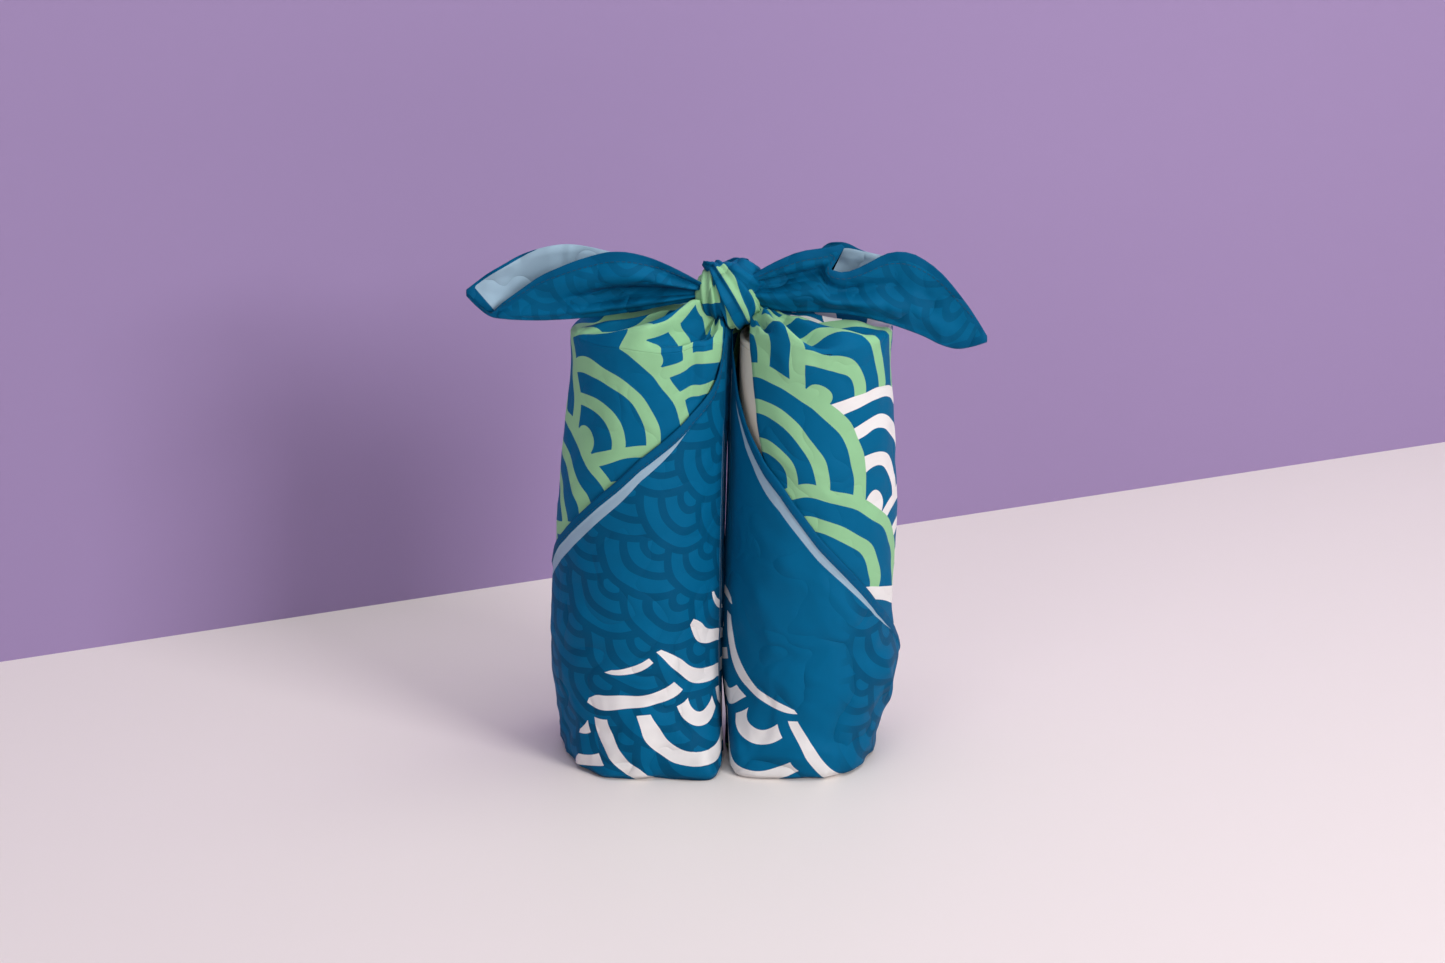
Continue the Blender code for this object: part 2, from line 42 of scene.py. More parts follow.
# Camera, floor, wall and light
studio = {
    "cameraPlace": (-0.00225, -1.300, 0.580),
    "cameraTilt": 71.13,             # degrees up from looking straight down
    "lens": 72.0,
    "sensorWidth": 36.0,
    "floorReach": 4.0,               # half the width of the floor, in metres
    "floorColor": (0.85, 0.785, 0.75),
    "floorRoughness": 0.5,
    "wallColor": (0.325, 0.232, 0.436),
    "wallRoughness": 0.9,
    "wallFrom": (-0.3813, 0.1041),   # where the wall meets the floor, x and y
    "wallTo": (0.4648, 0.4759),
    "wallRun": 3.0,                  # how far it runs on past both, in lengths between them
    "wallHeight": 2.5,
    # each light: name, place, what it aims at, its two sides, power and colour
    "lights": (
        ("keyLight", (1.40, -1.25, 1.0), (0.0, 0.0, 0.12), (0.7, 0.7), 25.0, (1.0, 0.98, 0.97)),
        ("fillLight", (-0.9, -1.7, 0.8), (0.0, 0.0, 0.12), (0.8, 0.8), 5.5, (0.96, 0.97, 1.0)),
        ("topLight", (0.3, 0.05, 1.8), (0.0, 0.1, 0.0), (1.5, 1.5), 21.0, (1.0, 1.0, 0.98)),
    ),
    "worldColor": (0.93, 0.94, 1.0),
    "worldStrength": 0.23,
}


def addObject(name, data):
    made = bpy.data.objects.new(name, data)
    bpy.context.scene.collection.objects.link(made)
    return made


def makeCamera():
    data = bpy.data.cameras.new("photoCamera")
    data.lens = studio["lens"]
    data.sensor_width = studio["sensorWidth"]
    data.clip_start = 0.05
    camera = addObject("photoCamera", data)
    camera.location = studio["cameraPlace"]
    camera.rotation_euler = (math.radians(studio["cameraTilt"]), 0.0, 0.0)
    bpy.context.scene.camera = camera


def makeLight(name, place, aim, size, energy, color):
    data = bpy.data.lights.new(name, "AREA")
    data.shape = "RECTANGLE"
    data.size, data.size_y = size
    data.energy = energy
    data.color = color
    lamp = addObject(name, data)
    lamp.location = place
    heading = Vector(aim) - Vector(place)
    lamp.rotation_euler = heading.to_track_quat("-Z", "Y").to_euler()


def plainMaterial(name, color, roughness):
    material = bpy.data.materials.new(name)
    material.use_nodes = True
    shader = material.node_tree.nodes["Principled BSDF"]
    shader.inputs["Base Color"].default_value = (*color, 1.0)
    shader.inputs["Roughness"].default_value = roughness
    return material


def clearFromBehind(material):
    # lets the back of the object be looked at through the wall
    nodes, links = material.node_tree.nodes, material.node_tree.links
    facing = nodes.new("ShaderNodeNewGeometry")
    clear = nodes.new("ShaderNodeBsdfTransparent")
    mix = nodes.new("ShaderNodeMixShader")
    links.new(facing.outputs["Backfacing"], mix.inputs[0])
    links.new(nodes["Principled BSDF"].outputs[0], mix.inputs[1])
    links.new(clear.outputs[0], mix.inputs[2])
    links.new(mix.outputs[0], nodes["Material Output"].inputs["Surface"])


def makeStage():
    def addPanel(name, corners, material):
        mesh = bpy.data.meshes.new(name)
        mesh.from_pydata(corners, [], [(0, 1, 2, 3)])
        mesh.materials.append(material)
        addObject(name, mesh)

    floor = plainMaterial("paleFloor", studio["floorColor"], studio["floorRoughness"])
    reach = studio["floorReach"]
    addPanel("floor", [(-reach, -reach, 0), (reach, -reach, 0), (reach, reach, 0), (-reach, reach, 0)],
             floor)
    wall = plainMaterial("lilacWall", studio["wallColor"], studio["wallRoughness"])
    clearFromBehind(wall)
    (x0, y0), (x1, y1) = studio["wallFrom"], studio["wallTo"]
    runX, runY = studio["wallRun"] * (x1 - x0), studio["wallRun"] * (y1 - y0)
    left, right = (x0 - runX, y0 - runY), (x1 + runX, y1 + runY)
    height = studio["wallHeight"]
    addPanel("wall", [(*left, 0), (*right, 0), (*right, height), (*left, height)], wall)


makeCamera()
makeStage()
for light in studio["lights"]:
    makeLight(*light)
world = bpy.data.worlds.new("studioWorld")
world.use_nodes = True
background = world.node_tree.nodes["Background"]
background.inputs["Color"].default_value = (*studio["worldColor"], 1.0)
background.inputs["Strength"].default_value = studio["worldStrength"]
bpy.context.scene.world = world
bpy.context.scene.view_settings.view_transform = "Standard"
print("camera, floor, wall and lights made")


# Shared shape helpers
def smooth(value):
    value = min(1.0, max(0.0, value))
    return value * value * (3.0 - 2.0 * value)


def blend(low, high, share):
    return low + (high - low) * share


def readTable(table, key):
    # value in the second column at a key in the first, straight between rows
    if key <= table[0][0]:
        return table[0][1]
    for (keyA, valueA), (keyB, valueB) in zip(table, table[1:]):
        if key <= keyB:
            return blend(valueA, valueB, (key - keyA) / (keyB - keyA))
    return table[-1][1]


def curveThrough(keys, values, key):
    # smooth curve through the values at rising keys
    last = len(keys) - 1
    key = min(max(key, keys[0]), keys[last])
    i = 0
    while i < last - 1 and key > keys[i + 1]:
        i += 1
    width = keys[i + 1] - keys[i]
    t = (key - keys[i]) / width

    def slope(j):
        a, b = max(j - 1, 0), min(j + 1, last)
        return (values[b] - values[a]) / (keys[b] - keys[a])

    m0, m1 = slope(i) * width, slope(i + 1) * width
    t2, t3 = t * t, t * t * t
    return (values[i] * (2 * t3 - 3 * t2 + 1) + m0 * (t3 - 2 * t2 + t)
            + values[i + 1] * (3 * t2 - 2 * t3) + m1 * (t3 - t2))


def rippleNoise(x, y, scale, seed):
    return noise.noise(Vector((x / scale, y / scale, seed)))


def nearLine(across, up, line):
    # 1 on a crease line and 0 far from it, thinning out towards both ends
    x0, y0, x1, y1, width = line[:5]
    dx, dy = x1 - x0, y1 - y0
    length = math.hypot(dx, dy)
    along = ((across - x0) * dx + (up - y0) * dy) / (length * length)
    apart = abs((across - x0) * dy - (up - y0) * dx) / length
    ends = smooth(along / 0.25) * smooth((1.0 - along) / 0.25)
    return math.exp(-(apart / width) ** 1.35) * ends


# what each corner of the cloth carries: its point, its place across and up the flat cloth, how far
# the hem is, how wide the light band is, and the green, tonal and white share of the print
cornerKeys = ("points", "across", "up", "hem", "band", "green", "tonal", "white")


def newPatch():
    return {key: [] for key in (*cornerKeys, "faces")}


def addGrid(patch, columns, closed=False):
    # joins columns of corners, all of one length, with faces
    start = len(patch["points"])
    rows = len(columns[0])
    for column in columns:
        for corner in column:
            for key, value in zip(cornerKeys, corner):
                patch[key].append(value)
    for j in range(len(columns) - 1):
        for i in range(rows if closed else rows - 1):
            k = (i + 1) % rows
            a, b = start + j * rows + i, start + (j + 1) * rows + i
            c, d = start + (j + 1) * rows + k, start + j * rows + k
            patch["faces"].append((a, b, c, d))


# The two wrapped columns
wrap = {
    "axisDistance": 38.7,      # each column axis from the middle plane
    "lean": 0.028,             # sideways lean, run over rise
    "shiftX": -3.7,
    "rimHeight": 211.0,        # where the wall ends and the cloth turns over the lid
    "roofHeight": 213.2,
    "bottom": 0.25,            # lift of the folded underside
    "layerDrop": 1.15,         # how far the under layer lies behind the flap
    "leastRadius": 36.0,       # the cloth lies no closer to the canister's axis
    "flapFrom": 352.0,         # turns past this belong to the flap, those before to the under layer
    "frontStep": 2.7,          # degrees between the grid columns
    "backStep": 5.4,
    "wallRows": 58,
    "clothRadius": 37.5,       # turns angles into distances along the cloth
    "hemWidth": 4.2,
    "hemThick": 0.75,
    "hemSlant": 1.414,         # height for each mm inside a hem that runs at 45 degrees
    "noHem": 99.0,             # hem distance of cloth that has no hem near it
    "whiteFade": 24.0,         # height over which the white strokes thin out
    "creaseGain": 2.4,
    "slitCorner": 5.0,         # width over which each column rounds off beside the slit
    "edgeSteps": (0.0, 0.35, 0.9, 2.0, 3.3, 4.0, 4.6, 6.0, 9.0),
    "roofSteps": (0.0, 0.008, 0.02, 0.035, 0.055),     # the first steps in from the rim
    "roofEvenFrom": 0.08,
    "roofEvenRows": 28,
    "roofCloth": 36.0,         # cloth between the rim and the rope
    # soft ripples of the walls: rise, slant, stretch up the wall, wavelength, seed
    "ripples": ((0.6, 0.5, 0.35, 17.0, 0.0), (0.3, -0.4, 0.5, 7.0, 4.0)),
}

clothPerDegree = math.radians(wrap["clothRadius"])
angleStations = (0, 50, 70, 90, 113, 135, 157, 180, 225, 270, 315)

leftColumn = {
    "side": -1, "first": -12, "split": 384, "last": 690, "roofStart": 20,
    "strip": 1.9, "rope": (9.5, -3.0, 227.0, 5.0), "seed": 3.1, "overhang": 14.0,
    "radius": (
        # z,    0,    50,   70,   90,   113,  135,  157,  180,  225,  270,  315
        (0,   (40.0, 57.0, 47.0, 44.0, 45.5, 41.4, 38.0, 37.8, 39.0, 41.0, 40.0)),
        (12,  (39.6, 51.0, 45.5, 43.0, 43.2, 41.5, 39.6, 39.6, 40.0, 41.0, 39.5)),
        (25,  (39.2, 45.0, 43.0, 42.0, 42.0, 41.5, 41.0, 41.0, 41.0, 41.0, 39.0)),
        (45,  (39.0, 40.5, 41.5, 42.0, 42.3, 43.0, 43.7, 44.0, 43.0, 41.5, 39.0)),
        (80,  (39.0, 39.5, 40.5, 41.5, 42.0, 43.3, 44.0, 44.1, 43.0, 41.0, 38.8)),
        (105, (38.3, 39.0, 40.0, 40.6, 41.2, 42.3, 43.0, 43.0, 42.0, 40.5, 38.6)),
        (130, (38.2, 38.6, 39.2, 39.8, 40.3, 40.9, 41.3, 41.4, 40.6, 39.6, 38.2)),
        (160, (38.2, 38.2, 38.6, 38.9, 39.0, 39.1, 39.2, 39.2, 38.8, 38.4, 38.0)),
        (195, (39.0, 37.6, 37.4, 37.2, 36.9, 36.6, 36.4, 36.4, 36.8, 37.0, 37.4)),
        (213, (39.0, 37.6, 37.4, 37.1, 36.8, 36.5, 36.4, 36.4, 36.5, 36.8, 37.2)),
    ),
    "hem": (
        (0, 330), (100, 180), (117, 155), (129, 138), (141, 121), (150, 107), (160, 93),
        (171, 72), (178, 59), (184, 47), (188.5, 39), (194.5, 31), (201, 29), (208, 26), (214, 24),
        (240, 0),
    ),
    "band": ((0, 6.0), (100, 6.0), (141, 4.5), (160, 2.5), (172, 0.0), (240, 0.0)),
    "start": ((0, -12), (214, -12)),
    "reach": ((0, 39.8), (45, 38.5), (92, 38.5), (104, 38.2), (160, 38.2), (174, 38.5), (240, 38.5)),
    "rim": ((0, 0.0), (51, 0.0), (66, -1.2), (80, -1.6), (92, -0.6), (104, 0.4), (128, 0.0), (360, 0.0)),
    # where the white strokes of the print end, by angle, and where the tonal print lies
    "whiteTop": ((0, 70), (20, 96), (40, 98), (62, 80), (95, 70), (118, 62), (132, 34), (142, 0),
                 (220, 0), (245, 70), (300, 90), (335, 60), (360, 70)),
    "tonal": ((0, 1.0), (360, 1.0)),
    # folds over the lid: angle, half width before and after it, height, start and end on the way to
    # the knot
    "folds": (
        (34, 10, 10, 2.0, 0.05, 0.8), (66, 20, 13, -9.5, 0.08, 1.02), (108, 9, 25, 9.0, -0.3, 1.05),
        (44, 4, 4, 3.0, 0.1, 0.9), (57, 4, 5, 5.5, 0.12, 0.98),
        (150, 6, 6, -2.6, 0.05, 0.8), (166, 8, 9, 4.4, 0.04, 0.85), (186, 6, 6, -2.2, 0.05, 0.8),
        (204, 9, 11, 4.6, 0.02, 0.9), (222, 6, 5, -1.8, 0.05, 0.9), (240, 11, 12, 5.2, 0.02, 0.9),
        (258, 6, 6, -1.8, 0.05, 0.9), (274, 10, 11, 4.4, 0.02, 0.9), (306, 10, 12, 5.0, 0.02, 0.9),
        (330, 8, 8, 1.5, 0.1, 0.9),
    ),
    # creases of the wall: angle and height of both ends, half width, height (all but the angles in mm)
    "creases": (
        (60, 60, 100, 48, 4.0, 0.55), (48, 40, 96, 20, 5.0, 0.7), (58, 26, 90, 44, 3.0, -0.5),
        (50, 8, 74, 30, 3.0, 0.9), (56, 70, 80, 96, 5.0, 0.5), (95, 36, 150, 30, 6.0, 0.5),
        (120, 84, 176, 60, 7.0, 0.6), (70, 120, 128, 92, 8.0, 0.5), (60, 150, 92, 122, 6.0, 0.4),
        (74, 12, 120, 6, 4.0, 0.6), (100, 174, 132, 168, 4.0, 0.35), (84, 196, 130, 188, 5.0, 0.3),
        (200, 90, 280, 40, 8.0, 0.8), (220, 150, 300, 110, 9.0, 0.6), (190, 30, 240, 60, 7.0, 0.7),
        (250, 60, 330, 30, 8.0, 0.6),
    ),
}

rightColumn = {
    "side": 1, "first": 45, "split": 369, "last": 622, "roofStart": 45,
    "strip": 0.0, "rope": (12.5, -1.0, 225.0, 5.0), "seed": 8.7, "overhang": 5.0,
    "radius": (
        # z,    0,    50,   70,   90,   113,  135,  157,  180,  225,  270,  315
        (0,   (38.3, 50.0, 45.5, 43.5, 43.8, 40.3, 37.2, 36.6, 38.0, 41.0, 40.0)),
        (12,  (38.3, 46.0, 44.0, 43.0, 42.5, 41.0, 38.8, 38.6, 40.0, 41.0, 39.5)),
        (25,  (38.3, 42.0, 42.0, 42.0, 42.0, 41.8, 41.5, 41.2, 41.0, 41.0, 39.0)),
        (50,  (39.0, 40.0, 41.0, 42.0, 43.0, 44.5, 46.0, 46.5, 44.5, 41.5, 39.0)),
        (63,  (39.0, 39.8, 40.8, 41.6, 42.0, 42.6, 43.0, 43.0, 42.5, 41.0, 38.8)),
        (75,  (39.0, 39.5, 40.5, 41.2, 41.2, 41.2, 41.2, 41.2, 41.0, 40.5, 38.7)),
        (105, (38.3, 39.0, 40.0, 40.6, 41.2, 42.0, 42.4, 42.4, 42.0, 40.5, 38.6)),
        (124, (38.2, 38.6, 39.4, 40.0, 40.8, 41.6, 42.2, 42.4, 41.6, 40.0, 38.4)),
        (148, (38.2, 38.3, 38.6, 39.1, 39.6, 40.1, 40.4, 40.4, 39.6, 38.8, 38.1)),
        (172, (38.7, 37.9, 38.1, 38.2, 38.3, 38.3, 38.3, 38.3, 38.2, 38.1, 37.9)),
        (195, (39.0, 37.4, 37.2, 37.0, 36.7, 36.4, 36.4, 36.4, 36.6, 36.8, 37.2)),
        (213, (39.0, 37.3, 37.1, 36.9, 36.6, 36.4, 36.4, 36.4, 36.4, 36.6, 37.0)),
    ),
    "hem": (
        (0, 262), (56, 180), (70, 165), (85, 142), (97, 127), (110, 111), (122, 96),
        (134, 83), (147, 68), (155, 56), (163, 46), (172, 36), (182, 27), (193, 18), (204, 10),
        (214, 2), (240, 0),
    ),
    "band": ((0, 0.0), (66, 0.0), (85, 2.0), (110, 4.0), (140, 5.5), (172, 3.5), (195, 2.0), (240, 2.0)),
    "start": (
        (0, 45), (100, 60), (159, 51), (164, 49), (180, 45), (194, 40.5), (209, 36), (216, 34),
    ),
    "reach": ((0, 33.5), (18, 35.0), (48, 38.5), (92, 38.5), (104, 38.2), (160, 38.2), (174, 38.5),
              (240, 38.5)),
    "rim": ((0, 0.0), (34, 1.5), (50, 3.4), (64, 4.0), (78, 1.6), (92, -1.6), (99, -2.0),
            (112, -0.6), (130, 0.6), (160, 0.8), (178, 0.0), (360, 0.0)),
    "whiteTop": ((0, 100), (22, 96), (40, 74), (58, 58), (80, 50), (96, 34), (112, 26), (128, 16),
                 (138, 0), (220, 0), (240, 60), (290, 90), (330, 60), (360, 100)),
    "tonal": ((0, 0.0), (112, 0.0), (126, 1.0), (200, 1.0), (260, 0.6), (360, 0.0)),
    "folds": (
        (47, 5, 5, 3.0, 0.02, 0.6), (56, 4, 4, -2.6, 0.02, 0.7), (68, 7, 10, 6.5, -0.2, 0.9),
        (98, 8, 8, -3.0, 0.02, 0.8), (122, 10, 12, 5.0, -0.1, 0.85), (141, 6, 5, -2.2, 0.05, 0.8),
        (158, 9, 10, 4.2, 0.05, 0.85), (178, 6, 6, -2.2, 0.05, 0.85), (197, 9, 11, 4.6, 0.02, 0.9),
        (216, 6, 5, -1.8, 0.05, 0.9), (236, 11, 12, 4.8, 0.02, 0.9), (256, 6, 5, -1.8, 0.05, 0.9),
        (277, 10, 11, 4.6, 0.02, 0.9), (318, 11, 11, 4.0, 0.02, 0.9),
    ),
    "creases": (
        (90, 108, 150, 54, 5.0, 0.6), (60, 120, 130, 64, 9.0, 0.7), (140, 60, 172, 20, 4.0, 1.0),
        (110, 44, 150, 30, 6.0, 0.6), (54, 60, 100, 30, 7.0, 0.6), (70, 20, 130, 10, 5.0, 0.6),
        (150, 100, 182, 56, 4.0, 0.8), (50, 100, 70, 60, 5.0, 0.6), (96, 204, 128, 190, 5.0, -0.5),
        (60, 200, 92, 206, 5.0, 0.5), (132, 170, 176, 150, 6.0, 0.4), (190, 100, 260, 50, 8.0, 0.8),
        (210, 160, 290, 120, 9.0, 0.6), (240, 60, 320, 30, 8.0, 0.7), (185, 20, 230, 50, 6.0, 0.7),
    ),
}


def placePoint(column, outward, y, z):
    return Vector((column["side"] * outward + wrap["lean"] * z + wrap["shiftX"], y, z))


def ringPoint(column, radius, turn, z):
    radians = math.radians(turn)
    outward = wrap["axisDistance"] - radius * math.cos(radians)
    return placePoint(column, outward, -radius * math.sin(radians), z)


def tableRadius(column, angle, height):
    # radius of the cloth that shows, smooth round the column and up it
    rows = column["radius"]
    keys = (-45,) + angleStations + (360, 410)
    angle = angle % 360.0
    heights = [row[0] for row in rows]
    low = max(0, min(len(rows) - 2, sum(1 for z in heights if z < height) - 1))
    picked = range(max(0, low - 1), min(len(rows), low + 3))
    values = []
    for index in picked:
        ring = rows[index][1]
        values.append(curveThrough(keys, (ring[10],) + ring + (ring[0], ring[1]), angle))
    return curveThrough([heights[i] for i in picked], values, height)


def roundedMin(first, second, width):
    # the lower of two values, with a round corner where they cross
    near = max(width - abs(first - second), 0.0)
    return min(first, second) - near * near / (4.0 * max(width, 0.001))


def middleLimit(column, angle, height):
    # each column comes only so near the middle plane
    return readTable(column["reach"], height) / max(math.cos(math.radians(angle)), 0.01)


def hemHeight(column, angle):
    return readTable(sorted((turn, height) for height, turn in column["hem"]), angle)


def wallLift(column, turn, height):
    # creases, soft ripples and the pleat beside the left hem
    angle = turn % 360.0
    across = angle * clothPerDegree
    seed = column["seed"]
    lift = 0.0
    for a0, z0, a1, z1, width, rise in column["creases"]:
        line = (a0 * clothPerDegree, z0, a1 * clothPerDegree, z1, width)
        lift += wrap["creaseGain"] * rise * nearLine(across, height, line)
    for rise, slant, stretch, wave, shift in wrap["ripples"]:
        lift += rise * rippleNoise(across + height * slant, height * stretch, wave, seed + shift)
    base = smooth((34.0 - height) / 30.0)             # fuller wrinkles near the foot
    lift += 1.3 * base * rippleNoise(across, height * 0.6, 13.0, seed + 9.0)
    ridges = abs(rippleNoise(across + height * 0.9, height * 0.8, 15.0, seed + 12.0))
    lift += (0.6 + 2.4 * base) * (0.25 - ridges)
    lift *= smooth((min(angle, 360.0 - angle) - 14.0) / 30.0)       # none beside the slit
    if turn < 300.0:
        grown = smooth((height - 158.0) / 30.0) * smooth((height - hemHeight(column, angle)) / 9.0)
        lift += column["strip"] * smooth((53.0 - angle) / 3.5) * smooth(angle / 20.0) * grown
        lift -= 0.8 * column["strip"] * math.exp(-((angle - 56.0) / 5.0) ** 2) * grown
    return lift


def printShares(column, turn, height):
    # green, tonal and white share of the print on a wall
    angle = turn % 360.0
    if turn > wrap["flapFrom"]:
        white = smooth((readTable(column["whiteTop"], angle) - height) / wrap["whiteFade"])
        return 0.0, readTable(column["tonal"], angle), white
    return 1.0, 0.0, 0.0


def wallRadius(column, turn, height):
    angle = turn % 360.0
    radius = tableRadius(column, angle, height)
    if turn < 0.0:
        covered = 1.4
    elif turn < 360.0:
        covered = smooth((hemHeight(column, angle) - height + 16.0) / 16.0)
        covered *= 1.0 - smooth((turn - 330.0) / 30.0)
    else:
        covered = 0.0
    radius = max(radius - wrap["layerDrop"] * covered, wrap["leastRadius"])
    corner = wrap["slitCorner"] * smooth((min(angle, 360.0 - angle) - 6.0) / 12.0)
    limit = middleLimit(column, angle, height) + 0.2
    return roundedMin(radius + wallLift(column, turn, height), limit, corner)


def hemBulge(distance):
    # a folded hem stands proud of the cloth and rounds over at its edge
    if distance > 5.0:
        return 0.0
    body = smooth((4.5 - distance) / 0.6)
    edge = smooth((0.5 - distance) / 0.5)
    return wrap["hemThick"] * (body - 0.9 * edge)


def wallPoint(column, turn, height, hemDistance):
    radius = wallRadius(column, turn, height) + hemBulge(hemDistance)
    if height < 3.0:                      # the cloth turns under the canister
        radius -= 2.4 * (1.0 - math.sqrt(max(0.0, 1.0 - (1.0 - height / 3.0) ** 2)))
    z = height + readTable(column["rim"], turn % 360.0) * smooth((height - 185.0) / 25.0)
    z += wrap["bottom"] * smooth((3.0 - height) / 3.0)
    return ringPoint(column, radius, turn, z)


def roofPoint(column, turn, along, hemDistance):
    # from the rim over the lid to the rope under the knot
    angle = turn % 360.0
    radians = math.radians(angle)
    rimHeight = wrap["rimHeight"]
    radius = wallRadius(column, turn, rimHeight) + hemBulge(hemDistance)
    ropeOut, ropeY, ropeZ, ropeRadius = column["rope"]
    if turn > 360.0:
        ropeRadius += 1.2
    power = 2.2 - 1.2 * math.cos(radians)
    lid = smooth((min(angle, 360.0 - angle) - 15.0) / 50.0)
    rim = lid * (wrap["roofHeight"] - rimHeight)
    z = rimHeight + rim * (1.0 - (1.0 - min(1.0, along / 0.05)) ** 2)
    z += (ropeZ - rimHeight - rim) * along ** power
    z += readTable(column["rim"], angle) * (1.0 - smooth(along / 0.5))
    lean = 0.0                            # the steep side of a fold hangs over what lies before it
    for center, before, after, height, start, end in column["folds"]:
        apart = (angle - center + 180.0) % 360.0 - 180.0
        width = (before if apart < 0.0 else after) * (1.0 + 0.5 * along)
        span = (along - start) / (end - start)
        if 0.0 < span < 1.0:
            rise = smooth(span / 0.3) * smooth((1.0 - span) / 0.25) * smooth(along / 0.06)
            crest = math.exp(-(apart / width) ** 2) * rise
            z += height * crest
            lean += max(height, 0.0) / 9.0 * crest
    radians -= math.radians(column["overhang"]) * lean
    outward = blend(wrap["axisDistance"] - radius * math.cos(radians),
                    ropeOut - ropeRadius * math.cos(radians), along)
    y = blend(-radius * math.sin(radians), ropeY - ropeRadius * math.sin(radians), along)
    fine = smooth(along / 0.2) * smooth((1.0 - along) / 0.1)
    z += 0.5 * fine * rippleNoise(angle, along * 6.0, 9.0, column["seed"] + 20.0)
    z += 2.6 * fine * along * rippleNoise(angle, along * 8.0, 7.0, column["seed"] + 30.0)
    z = max(z, wrap["roofHeight"] - 2.3 - 1.6 * lid)
    return placePoint(column, outward, y, z)


def slideStart(column, turn, height):
    # the first grid columns follow the slanted first edge of the under layer
    first = column["start"][0][1]
    slide = readTable(column["start"], height) - first
    return turn + slide * max(0.0, 1.0 - (turn - first) / 40.0)


def turnStations(first, last):
    # finer in front than at the back
    stations = [first]
    while stations[-1] < last:
        inFront = (stations[-1] + 15.0) % 360.0 < 215.0
        step = wrap["frontStep"] if inFront else wrap["backStep"]
        stations.append(min(stations[-1] + step, last))
    return stations


def wallHeights(top):
    # from the upper edge down, close together beside the hem and even below it
    rows, steps, slant = wrap["wallRows"], wrap["edgeSteps"], wrap["hemSlant"]
    reach = min(steps[-1] * slant, top * (len(steps) - 1) / (rows - 1) * 1.5)
    heights = []
    for i in range(rows):
        share = i / (rows - 1)
        if i < len(steps):
            height = top - min(steps[i] * slant, top * share * 1.5)
        else:
            rest = (i - len(steps) + 1) / (rows - len(steps))
            height = (top - reach) * (1.0 - rest)
        heights.append(max(height, 0.0))
    return heights


def columnWall(column, patch):
    first, last, split = column["first"], column["last"], column["split"]
    grid = []
    for turn in turnStations(first, last):
        top = wrap["rimHeight"]
        if turn > split:
            top = max(min(top, hemHeight(column, turn - 360.0)), 0.6)
        across = column["side"] * turn * clothPerDegree
        stripe = []
        for height in wallHeights(top):
            place = slideStart(column, turn, height)
            hem = wrap["noHem"]
            if turn > split:
                hem = (top - height) / wrap["hemSlant"]
            elif turn > split - 12.0:
                hem = max((split - turn) * clothPerDegree, 0.0)
            point = wallPoint(column, place, height, hem)
            band = readTable(column["band"], height)
            stripe.append((point, across, height, hem, band, *printShares(column, turn, height)))
        grid.append(stripe)
    addGrid(patch, grid)


def columnRoof(column, patch):
    split, rim = column["split"], wrap["rimHeight"]
    evenFrom, evenRows = wrap["roofEvenFrom"], wrap["roofEvenRows"]
    alongs = list(wrap["roofSteps"]) + [evenFrom]
    alongs += [evenFrom + (1.0 - evenFrom) * i / evenRows for i in range(1, evenRows + 1)]
    grid = []
    for turn in turnStations(column["roofStart"], split):
        place = slideStart(column, turn, rim)
        shares = printShares(column, turn, rim)
        across = column["side"] * turn * clothPerDegree
        stripe = []
        for along in reversed(alongs):
            hem = (split - turn) * clothPerDegree * (1.0 - 0.8 * along)
            point = roofPoint(column, place, along, hem)
            stripe.append((point, across, rim + wrap["roofCloth"] * along, hem, 0.0, *shares))
        grid.append(stripe)
    addGrid(patch, grid)


hiddenTurns = {
    "steps": 72, "stepTurn": 12.0, "rows": 8, "top": 205.0, "bottom": 1.2,
    "radius": 35.95, "tighter": 0.32,              # radius, and how much it drops with each full turn
    # kept low behind the gap where the canister shows: angle, half width, fade and drop
    "gap": (25.0, 75.0, 25.0, 58.0),
    "cornerFrom": 470.0, "cornerOver": 430.0,      # turns over which the first corner slopes down
}


def innerTurns(column, patch):
    # the hidden turns of the roll, from the first corner of the cloth outwards
    side, first, bottom = column["side"], column["first"], hiddenTurns["bottom"]
    rows, stepTurn = hiddenTurns["rows"], hiddenTurns["stepTurn"]
    gapAt, gapHalf, gapFade, gapDrop = hiddenTurns["gap"]
    grid = []
    for j in range(hiddenTurns["steps"], -1, -1):
        turn = first - stepTurn * j
        top = hiddenTurns["top"]
        if side > 0:
            apart = abs((turn - gapAt + 180.0) % 360.0 - 180.0)
            top -= gapDrop * smooth((gapHalf - apart) / gapFade)
        low = (j * stepTurn - hiddenTurns["cornerFrom"]) / hiddenTurns["cornerOver"]
        top = max(top * (1.0 - min(1.0, max(0.0, low))), bottom + 0.5)
        radius = hiddenTurns["radius"] - hiddenTurns["tighter"] * (first - turn) / 360.0
        stripe = []
        for i in range(rows):
            height = blend(top, bottom, i / (rows - 1))
            point = ringPoint(column, radius, turn, height)
            across = side * turn * clothPerDegree
            stripe.append((point, across, height, wrap["noHem"], 0.0, 1.0, 0.0, 0.0))
        grid.append(stripe)
    addGrid(patch, grid)


def columnBase(column, patch):
    # the cloth folded flat under the canister, in from the turned edge of the wall
    middle = placePoint(column, wrap["axisDistance"], 0.0, 0.0)
    grid = []
    for turn in range(0, 361, 5):
        edge = wallPoint(column, turn + 360.0, 0.0, wrap["noHem"])
        stripe = []
        for share in (1.0, 0.96, 0.9, 0.7, 0.4, 0.02):
            point = middle.lerp(edge, share)
            point.z = wrap["bottom"] + 0.1 + 0.5 * smooth((0.9 - share) / 0.3)
            stripe.append((point, point.x, point.y, wrap["noHem"], 0.0, 0.0, 1.0, 0.0))
        grid.append(stripe)
    addGrid(patch, grid)


